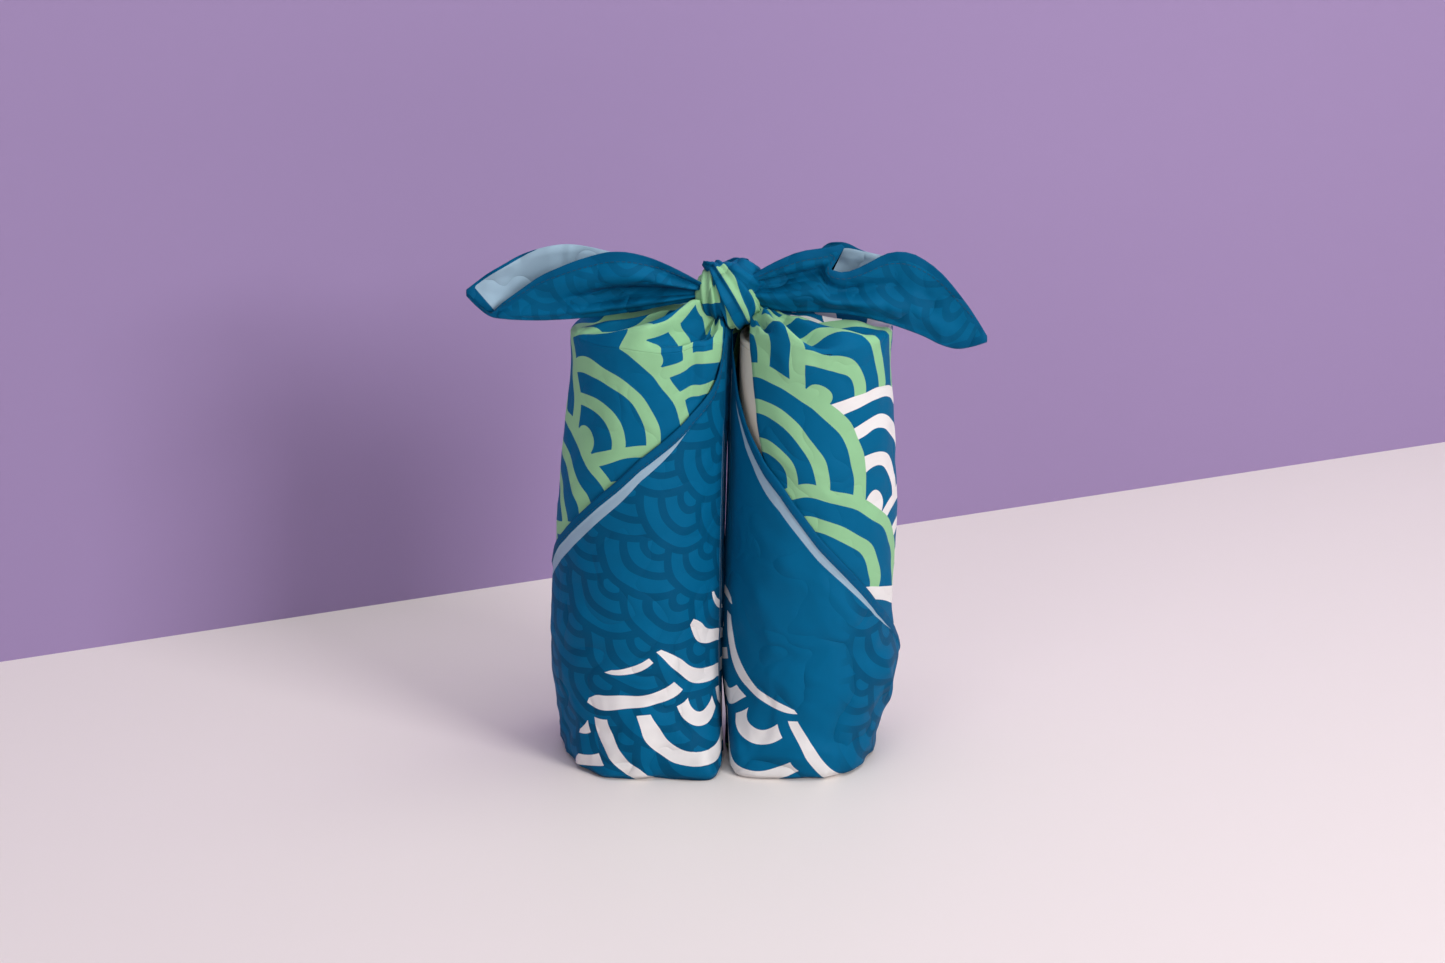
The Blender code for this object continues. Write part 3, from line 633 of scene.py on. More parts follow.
clothPatch = newPatch()
for column in (leftColumn, rightColumn):
    columnWall(column, clothPatch)
    columnRoof(column, clothPatch)
    innerTurns(column, clothPatch)
    columnBase(column, clothPatch)
print("two wrapped columns made,", len(clothPatch["points"]), "points")


# The tied ends
tails = {
    "left": {
        # x, back edge (y, z), bottom fold (y, z), front edge (y, z), lower lobe, hollow above it
        "rows": (
            (-2.0,    1.0, 231.0,  -4.0, 227.5,  -8.5, 232.5, 0.4, 0.0),
            (-8.0,    2.0, 233.5,  -5.0, 227.0, -10.0, 235.5, 1.2, 0.2),
            (-12.0,   1.5, 233.5,  -6.0, 226.3, -10.5, 238.2, 2.0, 0.6),
            (-20.0,   2.0, 236.5,  -7.0, 225.0, -11.0, 242.6, 3.2, 2.0),
            (-30.0,   2.5, 241.0,  -7.5, 223.2, -11.5, 247.3, 4.2, 4.2),
            (-42.0,   3.0, 245.2,  -8.0, 221.2, -11.5, 250.6, 4.2, 5.6),
            (-51.0,   3.2, 247.4,  -8.0, 219.8, -10.5, 250.5, 3.8, 5.2),
            (-58.0,   3.2, 249.2,  -8.0, 218.9,  -9.5, 248.6, 3.2, 4.0),
            (-66.0,   3.0, 250.6,  -7.8, 218.1,  -9.0, 246.0, 2.6, 2.2),
            (-74.0,   2.0, 251.0,  -7.5, 217.5,  -9.0, 242.8, 2.2, 0.6),
            (-83.0,   1.0, 249.5,  -7.0, 217.0,  -9.0, 238.4, 2.0, -0.6),
            (-92.0,   0.0, 246.6,  -6.5, 217.0,  -9.0, 232.0, 1.4, -0.8),
            (-100.0, -1.0, 242.4,  -6.0, 217.4,  -8.4, 226.0, 0.5, -0.3),
            (-106.5, -2.0, 238.8,  -5.5, 218.5,  -6.8, 220.5, 0.0, 0.0),
            (-112.5, -3.0, 234.6,  -5.0, 223.0,  -5.2, 223.3, 0.0, 0.0),
            (-117.3, -4.0, 231.0,  -4.5, 228.0,  -4.6, 228.2, 0.0, 0.0),
        ),
        "lobeAt": 0.10, "hollowAt": 0.31, "lean": (0.0, 1.0, 0.0, 0.0),
        "bandBack": 16.0, "hemShift": ((-94, 2.8), (-84, 4.3)), "tipLine": (-118.0, 231.0, -107.0, 218.0),
        # creases: x, share of the way round from back edge to front edge, at both ends, width, depth
        "creases": (
            (-6, 0.660, -66, 0.645, 2.3, -3.2), (-6, 0.86, -34, 0.92, 1.8, -1.6),
            (-6, 0.76, -34, 0.80, 2.4, 2.0), (-8, 0.20, -50, 0.16, 3.0, -1.2),
            (-60, 0.70, -98, 0.66, 3.0, -0.6), (-56, 0.90, -84, 0.80, 3.0, 0.8),
        ),
    },
    "right": {
        "rows": (
            (4.0,     1.0, 231.0,  -4.0, 228.0,  -8.5, 232.5, 0.4, 0.0),
            (9.0,     2.0, 234.0,  -5.0, 227.5, -10.0, 236.0, 1.0, 0.3),
            (16.0,    1.5, 235.5,  -7.0, 225.4, -10.5, 240.5, 1.8, 2.2),
            (25.0,    2.0, 239.5,  -8.0, 222.6, -10.5, 245.8, 2.6, 3.8),
            (35.0,    2.5, 243.6,  -9.0, 221.6, -10.0, 250.4, 3.4, 4.2),
            (43.0,    3.0, 246.4,  -9.0, 221.5,  -9.0, 252.6, 4.0, 3.2),
            (46.5,    3.2, 248.2,  -9.0, 221.4,  -8.8, 253.6, 4.2, 2.0),
            (49.0,    3.4, 250.4,  -9.0, 221.3, -10.4, 246.0, 4.4, 1.8),
            (51.5,    3.6, 251.6,  -9.0, 221.2, -11.4, 242.4, 4.6, 1.6),
            (58.5,    3.2, 251.6,  -9.0, 220.6, -11.6, 241.4, 4.6, 1.4),
            (67.0,    2.4, 247.8,  -8.5, 218.8, -11.6, 244.8, 4.4, 1.2),
            (78.0,    1.5, 245.4,  -8.0, 215.8, -11.4, 250.4, 4.0, 1.4),
            (87.0,    0.5, 244.0,  -7.5, 212.6, -11.0, 250.4, 3.4, 1.0),
            (95.0,   -1.0, 240.4,  -7.5, 209.4, -10.6, 246.4, 2.6, 0.8),
            (103.0,  -3.0, 234.6,  -7.5, 205.4, -10.4, 239.8, 1.6, 0.0),
            (110.5,  -4.5, 226.4,  -7.5, 203.4, -10.0, 230.8, 0.8, 0.0),
            (117.5,  -6.0, 218.8,  -8.0, 204.6,  -9.4, 221.2, 0.3, 0.0),
            (124.4,  -7.5, 208.8,  -8.0, 206.8,  -8.4, 209.8, 0.0, 0.0),
        ),
        "lobeAt": 0.24, "hollowAt": 0.52, "lean": (47.0, 6.0, 242.0, 11.0),
        "bandBack": 16.0, "hemShift": ((48, 3.2), (55, 1.0), (61, 2.4), (66, 4.3)),
        "tipLine": (110.0, 202.6, 125.4, 207.2),
        "creases": (
            (6, 0.79, 56, 0.83, 1.7, -3.2), (6, 0.70, 50, 0.73, 1.7, -2.8),
            (8, 0.745, 60, 0.78, 1.9, 2.0), (12, 0.90, 50, 0.93, 2.0, -1.2),
            (12, 0.20, 54, 0.16, 3.0, -1.2), (60, 0.62, 104, 0.66, 4.0, 0.9),
            (30, 0.60, 84, 0.60, 3.0, -0.8),
        ),
    },
}


tailGirth = 60.0        # rough way round a tied end, for its creases and ripples
tailTonal = 0.65        # share of the tonal print on it


def tailSection(tail, x):
    rows = sorted(tail["rows"])
    keys = [row[0] for row in rows]
    return [curveThrough(keys, [row[k] for row in rows], x) for k in range(1, 9)]


def tailPoint(tail, x, share, inset):
    # round one cross section: back edge 0, bottom fold 0.5, front edge 1
    backY, backZ, foldY, foldZ, frontY, frontZ, lobe, hollow = tailSection(tail, x)
    turn = 1.6                               # radius of the bottom fold
    thin = min(1.0, max(0.05, (frontZ - foldZ) / 6.0))
    if share < 0.46:
        t = share / 0.46
        y = blend(backY, foldY + turn * thin, t ** 1.3) + 0.9 * lobe * math.sin(math.pi * t)
        z = blend(backZ, foldZ + turn, t)
    elif share < 0.54:
        t = (share - 0.46) / 0.08 * math.pi
        y = foldY + turn * thin * math.cos(t)
        z = foldZ + turn - turn * math.sin(t)
    else:
        t = (share - 0.54) / 0.46
        y = blend(foldY - turn * thin, frontY, t)
        y -= lobe * math.exp(-((t - tail["lobeAt"]) / 0.16) ** 2) * smooth(t / 0.1)
        y += 1.3 * hollow * math.exp(-((t - tail["hollowAt"]) / 0.11) ** 2)
        y -= 0.9 * hollow * math.exp(-((t - tail["hollowAt"] - 0.30) / 0.19) ** 2)
        z = blend(foldZ + turn, max(frontZ, foldZ + turn * 1.05), t)
    around = share * tailGirth
    lift = 0.0
    for x0, s0, x1, s1, width, rise in tail["creases"]:
        lift += rise * nearLine(x, around, (x0, s0 * tailGirth, x1, s1 * tailGirth, width))
    calm = smooth((abs(x) - 4.0) / 10.0) * smooth((118.0 - abs(x)) / 16.0)
    lift += calm * 0.8 * rippleNoise(x, around, 16.0, 5.0)
    lift += calm * 0.3 * rippleNoise(x, around, 6.5, 7.0)
    side = 1.0 if share < 0.5 else -1.0
    y += side * (lift * min(1.0, 6.0 * abs(share - 0.5)) - inset)
    center, width, low, reach = tail["lean"]          # slants the hem that crosses the tail
    if share > 0.5:
        x += reach * math.exp(-((x - center) / width) ** 2) * min(1.0, max(0.0, (z - low) / 11.0))
    return Vector((x + wrap["shiftX"], y, z + inset * (1.0 - abs(2.0 * share - 1.0))))


def leafShares():
    # grid stations round the outer leaf, close together at its hems and its bottom fold
    shares = [0.0, 0.008, 0.02, 0.045, 0.07, 0.085, 0.10]
    shares += [0.10 + 0.36 * i / 9 for i in range(1, 10)]
    shares += [0.46 + 0.08 * i / 6 for i in range(1, 7)]
    shares += [0.54 + 0.36 * i / 24 for i in range(1, 25)]
    return shares + [0.915, 0.93, 0.955, 0.98, 0.992, 1.0]


def makeTail(tail, patch, inset, count, shares):
    xs = [row[0] for row in tail["rows"]]
    x0, z0, x1, z1 = tail["tipLine"]
    tipLength = math.hypot(x1 - x0, z1 - z0)
    grid = []
    for j in range(count + 1):
        x = blend(xs[0], xs[-1], j / count)
        points = [tailPoint(tail, x, share, inset) for share in shares]
        lengths = [0.0]
        for a, b in zip(points, points[1:]):
            lengths.append(lengths[-1] + (b - a).length)
        total = lengths[-1]
        stripe = []
        for point, length, share in zip(points, lengths, shares):
            flatX = point.x - wrap["shiftX"]
            tip = abs((flatX - x0) * (z1 - z0) - (point.z - z0) * (x1 - x0)) / tipLength
            edge = length + readTable(tail["hemShift"], flatX) if share < 0.5 else total - length
            band = tail["bandBack"] if share < 0.5 else 0.0
            stripe.append((point, flatX, length, min(edge, tip), band, 0.0, tailTonal, 0.0))
        grid.append(stripe)
    if xs[0] > xs[-1]:
        grid.reverse()
    addGrid(patch, grid)


# the inner leaf doubles the outer one and doesn't show, so its grid is coarse
leaves = ((0.0, 84, leafShares()), (0.7, 28, [i / 16 for i in range(17)]))
for tail in tails.values():
    for inset, count, shares in leaves:
        makeTail(tail, clothPatch, inset, count, shares)
print("tied ends made,", len(clothPatch["points"]), "points")


# The knot
knot = {
    "center": (2.5, 0.0, 231.0),
    "bandGirth": 50.0,         # size of a band for its print, round it and along it
    "bandLength": 40.0,
    "tonal": 0.4,
    # each band: x, y, z, half width, half depth; grid steps round it and along it; pleats round it;
    # and its green wedges, each as along, across and half width at its two ends (along 0 to 1,
    # across -1 to 1)
    "bands": {
        "middleBand": {
            "rows": (
                (-3.0, 4.0, 237.5, 3.4, 3.0), (-1.6, -3.0, 241.2, 3.6, 3.0), (1.0, -9.0, 239.6, 5.0, 3.2),
                (5.0, -12.5, 234.0, 6.8, 3.5), (8.5, -13.2, 227.5, 7.6, 3.6), (11.2, -10.8, 221.2, 8.0, 3.4),
                (12.0, -5.0, 217.8, 7.0, 3.2), (11.0, 3.0, 219.5, 5.0, 3.0),
            ),
            "grid": (66, 38), "pleats": 8, "pleatDepth": 0.16,
            "green": ((0.40, -0.92, 0.02, 0.82, -0.80, 0.20), (0.24, 0.30, 0.46, 0.80, 0.0, 0.02),
                      (0.44, 1.0, 0.05, 0.88, 0.80, 0.40)),
        },
        "leftLoop": {
            "rows": (
                (-1.0, 4.0, 236.0, 5.5, 4.0), (-3.5, -3.0, 236.8, 6.2, 4.4), (-4.8, -8.6, 232.6, 6.8, 4.0),
                (-4.6, -10.6, 227.6, 6.6, 3.8), (-3.4, -9.0, 222.8, 6.0, 3.6), (-1.0, -3.5, 219.6, 5.4, 3.4),
                (2.0, 3.0, 219.8, 5.0, 3.2),
            ),
            "grid": (60, 32), "pleats": 9, "pleatDepth": 0.13,
            "green": ((0.14, 0.0, 1.3, 0.51, 0.0, 1.3),),
        },
        "topLobe": {
            "rows": (
                (1.0, 2.0, 237.0, 4.5, 4.0), (4.5, -4.0, 239.4, 6.0, 5.0), (9.0, -7.0, 239.4, 7.0, 6.0),
                (13.4, -6.0, 236.6, 7.4, 5.8), (16.2, -1.0, 234.6, 6.0, 5.0), (16.0, 5.0, 232.0, 4.5, 4.0),
            ),
            "grid": (48, 28), "pleats": 5, "pleatDepth": 0.11, "green": (),
        },
        "ear": {
            "rows": (
                (-7.6, -3.0, 243.4, 0.6, 1.8), (-5.6, -3.5, 242.4, 1.6, 2.8), (-2.4, -3.5, 240.4, 2.8, 3.6),
                (2.0, -3.0, 238.0, 4.2, 4.2),
            ),
            "grid": (40, 16), "pleats": 4, "pleatDepth": 0.2, "green": (),
        },
        "core": {
            "rows": (
                (-7.0, 0.5, 230.0, 6.5, 6.0), (0.0, 1.0, 231.0, 10.0, 8.0), (8.0, 1.0, 230.0, 10.5, 8.5),
                (15.0, 0.5, 229.0, 6.5, 6.5),
            ),
            "grid": (30, 12), "pleats": 6, "pleatDepth": 0.06, "green": (),
        },
        "backBand": {
            "rows": (
                (-6.0, 3.0, 224.0, 5.0, 3.2), (-2.0, 8.5, 228.0, 6.0, 3.4), (4.0, 10.5, 233.0, 6.6, 3.6),
                (10.0, 8.0, 237.6, 6.0, 3.4), (13.0, 2.0, 240.0, 4.6, 3.0),
            ),
            "grid": (48, 26), "pleats": 7, "pleatDepth": 0.13, "green": ((0.2, 0.4, 0.2, 0.8, 0.1, 0.25),),
        },
    },
}


def bandStation(rows, share):
    keys = [k / (len(rows) - 1) for k in range(len(rows))]
    return [curveThrough(keys, [row[k] for row in rows], share) for k in range(5)]


def wedgeShare(wedges, along, across):
    # how far inside a green wedge, 1 well inside and 0 outside
    share = 0.0
    for along0, across0, half0, along1, across1, half1 in wedges:
        t = (along - along0) / (along1 - along0)
        if -0.1 < t < 1.1:
            middle, half = blend(across0, across1, t), max(blend(half0, half1, t), 0.0)
            inside = min((half - abs(across - middle)) / 0.25, t * 8.0, (1.0 - t) * 8.0)
            share = max(share, min(1.0, max(0.0, inside + 0.5)))
    return share


def makeBand(band, patch, seed):
    rows = band["rows"]
    around, count = band["grid"]
    centers = []
    for k in range(count + 1):
        x, y, z, width, depth = bandStation(rows, k / count)
        centers.append((Vector((x + wrap["shiftX"], y, z)), width, depth))
    middle = Vector(knot["center"]) + Vector((wrap["shiftX"], 0.0, 0.0))
    grid = []
    for k, (center, width, depth) in enumerate(centers):
        before, after = centers[max(k - 1, 0)][0], centers[min(k + 1, count)][0]
        heading = (after - before).normalized()
        outward = center - middle
        outward -= heading * outward.dot(heading)
        if outward.length < 0.2:
            outward = Vector((0.0, -1.0, 0.0))
        outward.normalize()
        sideways = heading.cross(outward)
        stripe = []
        for j in range(around):
            share = j / around
            turn = 2.0 * math.pi * share
            wave = math.cos(turn * band["pleats"] + 0.8 * math.sin(6.0 * k / count + seed))
            pleat = 1.0 + band["pleatDepth"] * (abs(wave) ** 0.6 * math.copysign(1.0, wave))
            pleat += 0.05 * rippleNoise(share * 24.0, 16.0 * k / count, 3.0, seed)
            flat = math.copysign(abs(math.sin(turn)) ** 0.8, math.sin(turn))
            point = center + (sideways * width * math.cos(turn) + outward * depth * flat) * pleat
            across = -math.cos(turn) if math.sin(turn) > 0.0 else 3.0
            green = -1.0 - wedgeShare(band["green"], k / count, across)
            place = (share * knot["bandGirth"], knot["bandLength"] * k / count)
            stripe.append((point, *place, wrap["noHem"], 0.0, green, knot["tonal"], 0.0))
        grid.append(stripe)
    addGrid(patch, grid, closed=True)


for index, band in enumerate(knot["bands"].values()):
    makeBand(band, clothPatch, index * 2.3)
print("knot made,", len(clothPatch["points"]), "points")


# Print, weave and hem of the cloth
def calc(tree, operation, first, second=None, third=None):
    node = tree.nodes.new("ShaderNodeMath")
    node.operation = operation
    for socket, value in zip(node.inputs, (first, second, third)):
        if value is None:
            continue
        if isinstance(value, (int, float)):
            socket.default_value = value
        else:
            tree.links.new(value, socket)
    return node.outputs[0]


def mixColor(tree, share, first, second):
    node = tree.nodes.new("ShaderNodeMix")
    node.data_type = "RGBA"
    for socket, value in ((node.inputs[0], share), (node.inputs[6], first), (node.inputs[7], second)):
        if isinstance(value, (int, float)):
            socket.default_value = value
        elif isinstance(value, tuple):
            socket.default_value = (*value, 1.0)
        else:
            tree.links.new(value, socket)
    return node.outputs[2]


def noiseValue(tree, vector, scale, detail, distortion=0.0):
    node = tree.nodes.new("ShaderNodeTexNoise")
    node.inputs["Scale"].default_value = scale
    node.inputs["Detail"].default_value = detail
    node.inputs["Distortion"].default_value = distortion
    tree.links.new(vector, node.inputs["Vector"])
    return node.outputs[0]


def addBump(tree, height, strength, depth):
    bump = tree.nodes.new("ShaderNodeBump")
    bump.inputs["Strength"].default_value = strength
    bump.inputs["Distance"].default_value = depth
    tree.links.new(height, bump.inputs["Height"])
    return bump


def newGroup(name, inputs, outputs):
    group = bpy.data.node_groups.new(name, "ShaderNodeTree")
    for label, value in inputs:
        socket = group.interface.new_socket(label, in_out="INPUT", socket_type="NodeSocketFloat")
        socket.default_value = value
    for label in outputs:
        group.interface.new_socket(label, in_out="OUTPUT", socket_type="NodeSocketFloat")
    start = group.nodes.new("NodeGroupInput")
    end = group.nodes.new("NodeGroupOutput")
    return group, start.outputs, end.inputs


def makeWavePrint():
    # a plain lattice of overlapping scales with rings in each, in millimetres of cloth
    inputs = (("Across", 0.0), ("Up", 0.0), ("Scale Radius", 40.0), ("Ring Period", 13.3),
              ("Stroke", 6.5), ("Wobble", 1.5), ("Offset", 0.0))
    group, given, made = newGroup("wavePrint", inputs, ("Line", "Cell Across", "Cell Up"))
    combine = group.nodes.new("ShaderNodeCombineXYZ")
    group.links.new(given["Across"], combine.inputs[0])
    group.links.new(given["Up"], combine.inputs[1])
    wobbleU = calc(group, "SUBTRACT", noiseValue(group, combine.outputs[0], 0.035, 1.0), 0.5)
    shifted = group.nodes.new("ShaderNodeVectorMath")
    shifted.operation = "ADD"
    shifted.inputs[1].default_value = (71.0, 33.0, 9.0)
    group.links.new(combine.outputs[0], shifted.inputs[0])
    wobbleV = calc(group, "SUBTRACT", noiseValue(group, shifted.outputs[0], 0.035, 1.0), 0.5)
    amount = calc(group, "MULTIPLY", given["Wobble"], 4.0)
    across = calc(group, "MULTIPLY_ADD", wobbleU, amount, given["Across"])
    up = calc(group, "MULTIPLY_ADD", wobbleV, amount, given["Up"])
    radius = given["Scale Radius"]
    rise = calc(group, "MULTIPLY", radius, 0.5)
    double = calc(group, "MULTIPLY", radius, 2.0)
    firstRow = calc(group, "CEIL", calc(group, "DIVIDE", calc(group, "SUBTRACT", up, radius), rise))
    found = None
    for offset in (3, 2, 1, 0):
        row = calc(group, "ADD", firstRow, float(offset))
        rowUp = calc(group, "MULTIPLY", row, rise)
        odd = calc(group, "FLOORED_MODULO", row, 2.0)
        shift = calc(group, "MULTIPLY", odd, radius)
        cell = calc(group, "ROUND", calc(group, "DIVIDE", calc(group, "SUBTRACT", across, shift), double))
        rowAcross = calc(group, "MULTIPLY_ADD", cell, double, shift)
        dx = calc(group, "SUBTRACT", across, rowAcross)
        dy = calc(group, "SUBTRACT", up, rowUp)
        distance = calc(group, "SQRT", calc(group, "ADD", calc(group, "MULTIPLY", dx, dx),
                                            calc(group, "MULTIPLY", dy, dy)))
        if found is None:
            found = (distance, rowAcross, rowUp)
            continue
        inside = calc(group, "LESS_THAN", distance, radius)
        picked = []
        for old, new in zip(found, (distance, rowAcross, rowUp)):
            gap = calc(group, "SUBTRACT", new, old)
            picked.append(calc(group, "MULTIPLY_ADD", gap, inside, old))
        found = tuple(picked)
    depth = calc(group, "SUBTRACT", calc(group, "SUBTRACT", radius, found[0]), given["Offset"])
    phase = calc(group, "FLOORED_MODULO", depth, given["Ring Period"])
    line = calc(group, "LESS_THAN", phase, given["Stroke"])
    group.links.new(line, made["Line"])
    group.links.new(found[1], made["Cell Across"])
    group.links.new(found[2], made["Cell Up"])
    return group


def makeWeave():
    # plain weave: warp and weft threads that pass over each other in turn
    group, given, made = newGroup("plainWeave", (("Across", 0.0), ("Up", 0.0), ("Pitch", 0.45)), ("Height",))
    u = calc(group, "DIVIDE", given["Across"], given["Pitch"])
    v = calc(group, "DIVIDE", given["Up"], given["Pitch"])
    warp = calc(group, "ABSOLUTE", calc(group, "SINE", calc(group, "MULTIPLY", u, math.pi)))
    weft = calc(group, "ABSOLUTE", calc(group, "SINE", calc(group, "MULTIPLY", v, math.pi)))
    parity = calc(group, "ADD", calc(group, "FLOOR", u), calc(group, "FLOOR", v))
    turn = calc(group, "FLOORED_MODULO", parity, 2.0)
    gap = calc(group, "SUBTRACT", weft, warp)
    height = calc(group, "MULTIPLY_ADD", gap, turn, warp)
    group.links.new(height, made["Height"])
    return group


cloth = {
    "blue": (0.0, 0.112, 0.248),
    "hemBlue": (0.0, 0.085, 0.20),
    "tonal": (0.0, 0.06, 0.14),
    "green": (0.275, 0.535, 0.29),
    "white": (0.77, 0.745, 0.745),
    "bandBlue": (0.31, 0.44, 0.55),
    # the lattices: how far each is turned, its scale radius, ring spacing and stroke width
    "greenPrint": {"turn": -36.0, "shift": 8.0, "radius": 54.0, "period": 15.9, "stroke": 6.4, "wobble": 2.4,
                   "rise": 0.0, "offset": 0.0},
    "tonalPrint": {"turn": 140.0, "shift": 0.0, "radius": 27.0, "period": 9.4, "stroke": 3.6, "wobble": 1.8,
                   "rise": 0.0, "offset": 0.0},
    "whitePrint": {"turn": 158.0, "shift": 20.0, "radius": 56.0, "period": 18.0, "stroke": 6.4, "wobble": 2.6,
                   "rise": 22.0, "offset": 4.6},
    "whiteMotifs": (74.0, 140.0),          # where the motifs turn white, along the cloth
    "flatSize": (0.70, 0.70),
    "thickness": 0.22,
    "weavePitch": 0.45,
    "weaveBump": (0.25, 0.0002),           # strength and depth
    "tonalMix": 0.7,
    "whiteFrom": 0.36,                     # least white share that still shows a stroke
    "sheen": 0.01,
    "specular": 0.05,
    # creases too fine for the mesh
    "crumple": {"scale": 34.0, "detail": 1.5, "distortion": 0.5, "strength": 0.8, "depth": 0.013},
}


def placeGroup(tree, group, values):
    node = tree.nodes.new("ShaderNodeGroup")
    node.node_tree = group
    for label, value in values.items():
        if isinstance(value, (int, float)):
            node.inputs[label].default_value = value
        else:
            tree.links.new(value, node.inputs[label])
    return node.outputs


def attributeValue(tree, name):
    node = tree.nodes.new("ShaderNodeAttribute")
    node.attribute_name = name
    return node.outputs["Fac"]


def makeClothMaterial(wavePrint, weave):
    material = bpy.data.materials.new("printedCloth")
    material.use_nodes = True
    tree = material.node_tree
    shader = tree.nodes["Principled BSDF"]
    uv = tree.nodes.new("ShaderNodeUVMap")
    uv.uv_map = "clothUv"
    split = tree.nodes.new("ShaderNodeSeparateXYZ")
    tree.links.new(uv.outputs[0], split.inputs[0])
    across = calc(tree, "MULTIPLY", split.outputs[0], 1000.0)
    up = calc(tree, "MULTIPLY", split.outputs[1], 1000.0)
    hem = attributeValue(tree, "hemDistance")
    band = attributeValue(tree, "bandWidth")
    green = attributeValue(tree, "greenShare")
    tonal = attributeValue(tree, "tonalShare")
    white = attributeValue(tree, "whiteShare")

    def lattice(values):
        # line mask of one turned lattice, and how far along the cloth its motif's middle lies
        turn = math.radians(values["turn"])
        alongTurn, acrossTurn = math.cos(turn), math.sin(turn)
        u = calc(tree, "MULTIPLY_ADD", across, alongTurn, calc(tree, "MULTIPLY", up, acrossTurn))
        v = calc(tree, "MULTIPLY_ADD", across, -acrossTurn, calc(tree, "MULTIPLY", up, alongTurn))
        stroke = values["stroke"]
        if "share" in values:
            stroke = calc(tree, "MULTIPLY", values["share"], stroke)
        given = {"Across": calc(tree, "ADD", u, values["shift"]),
                 "Up": calc(tree, "ADD", v, values["rise"]), "Wobble": values["wobble"],
                 "Scale Radius": values["radius"], "Ring Period": values["period"], "Stroke": stroke,
                 "Offset": values["offset"]}
        made = placeGroup(tree, wavePrint, given)
        middle = calc(tree, "MULTIPLY", calc(tree, "SUBTRACT", made["Cell Across"], values["shift"]),
                      alongTurn)
        middle = calc(tree, "MULTIPLY_ADD", made["Cell Up"], -acrossTurn, middle)
        return made["Line"], middle

    coords = tree.nodes.new("ShaderNodeTexCoord")
    fine = noiseValue(tree, coords.outputs["Object"], 38.0, 3.0)
    tint = calc(tree, "MULTIPLY_ADD", fine, 0.16, 0.92)

    greenLine, greenMiddle = lattice(cloth["greenPrint"])
    tonalLine = lattice(cloth["tonalPrint"])[0]
    whiteLine = lattice({**cloth["whitePrint"], "share": white})[0]
    tonalShare = calc(tree, "MULTIPLY", calc(tree, "MULTIPLY", tonalLine, tonal), cloth["tonalMix"])
    color = mixColor(tree, tonalShare, cloth["blue"], cloth["tonal"])
    isGreen = calc(tree, "GREATER_THAN", green, 0.5)
    isKnot = calc(tree, "LESS_THAN", green, -1.5)
    whiteFrom, whiteTo = cloth["whiteMotifs"]
    isWhite = calc(tree, "MULTIPLY", calc(tree, "GREATER_THAN", greenMiddle, whiteFrom),
                   calc(tree, "LESS_THAN", greenMiddle, whiteTo))
    isWhite = calc(tree, "MULTIPLY", isWhite, calc(tree, "SUBTRACT", 1.0, isKnot))
    greenShare = calc(tree, "MAXIMUM", calc(tree, "MULTIPLY", greenLine, isGreen), isKnot)
    color = mixColor(tree, greenShare, color, mixColor(tree, isWhite, cloth["green"], cloth["white"]))
    whiteShare = calc(tree, "MULTIPLY", whiteLine, calc(tree, "GREATER_THAN", white, cloth["whiteFrom"]))
    color = mixColor(tree, whiteShare, color, cloth["white"])
    bandEdge = calc(tree, "ADD", band, wrap["hemWidth"])
    inBand = calc(tree, "LESS_THAN", hem, bandEdge)
    color = mixColor(tree, inBand, color, cloth["bandBlue"])
    inHem = calc(tree, "LESS_THAN", hem, wrap["hemWidth"])
    color = mixColor(tree, inHem, color, cloth["hemBlue"])
    shade = tree.nodes.new("ShaderNodeHueSaturation")
    tree.links.new(color, shade.inputs["Color"])
    tree.links.new(tint, shade.inputs["Value"])
    tree.links.new(shade.outputs[0], shader.inputs["Base Color"])

    threads = placeGroup(tree, weave, {"Across": across, "Up": up, "Pitch": cloth["weavePitch"]})["Height"]
    soft = noiseValue(tree, coords.outputs["Object"], 160.0, 4.0)
    relief = calc(tree, "MULTIPLY_ADD", threads, 0.5, soft)
    values = cloth["crumple"]
    crumple = noiseValue(tree, coords.outputs["Object"], values["scale"], values["detail"],
                         values["distortion"])
    ridge = calc(tree, "ABSOLUTE", calc(tree, "SUBTRACT", crumple, 0.5))
    nearFoot = calc(tree, "SUBTRACT", 1.15, calc(tree, "DIVIDE", up, 110.0))
    nearFoot = calc(tree, "MINIMUM", calc(tree, "MAXIMUM", nearFoot, 0.3), 1.0)
    creaseHeight = calc(tree, "MULTIPLY", calc(tree, "POWER", ridge, 0.8), nearFoot)
    creases = addBump(tree, creaseHeight, values["strength"], values["depth"])
    bump = addBump(tree, relief, *cloth["weaveBump"])
    tree.links.new(creases.outputs[0], bump.inputs["Normal"])
    tree.links.new(bump.outputs[0], shader.inputs["Normal"])
    rough = calc(tree, "MULTIPLY_ADD", fine, 0.14, 0.50)
    tree.links.new(rough, shader.inputs["Roughness"])
    shader.inputs["Sheen Weight"].default_value = cloth["sheen"]
    shader.inputs["Sheen Roughness"].default_value = 0.4
    shader.inputs["Specular IOR Level"].default_value = cloth["specular"]
    return material


def applyModifiers(piece, name):
    depsgraph = bpy.context.evaluated_depsgraph_get()
    made = bpy.data.meshes.new_from_object(piece.evaluated_get(depsgraph))
    piece.modifiers.clear()
    piece.data = made
    made.name = name


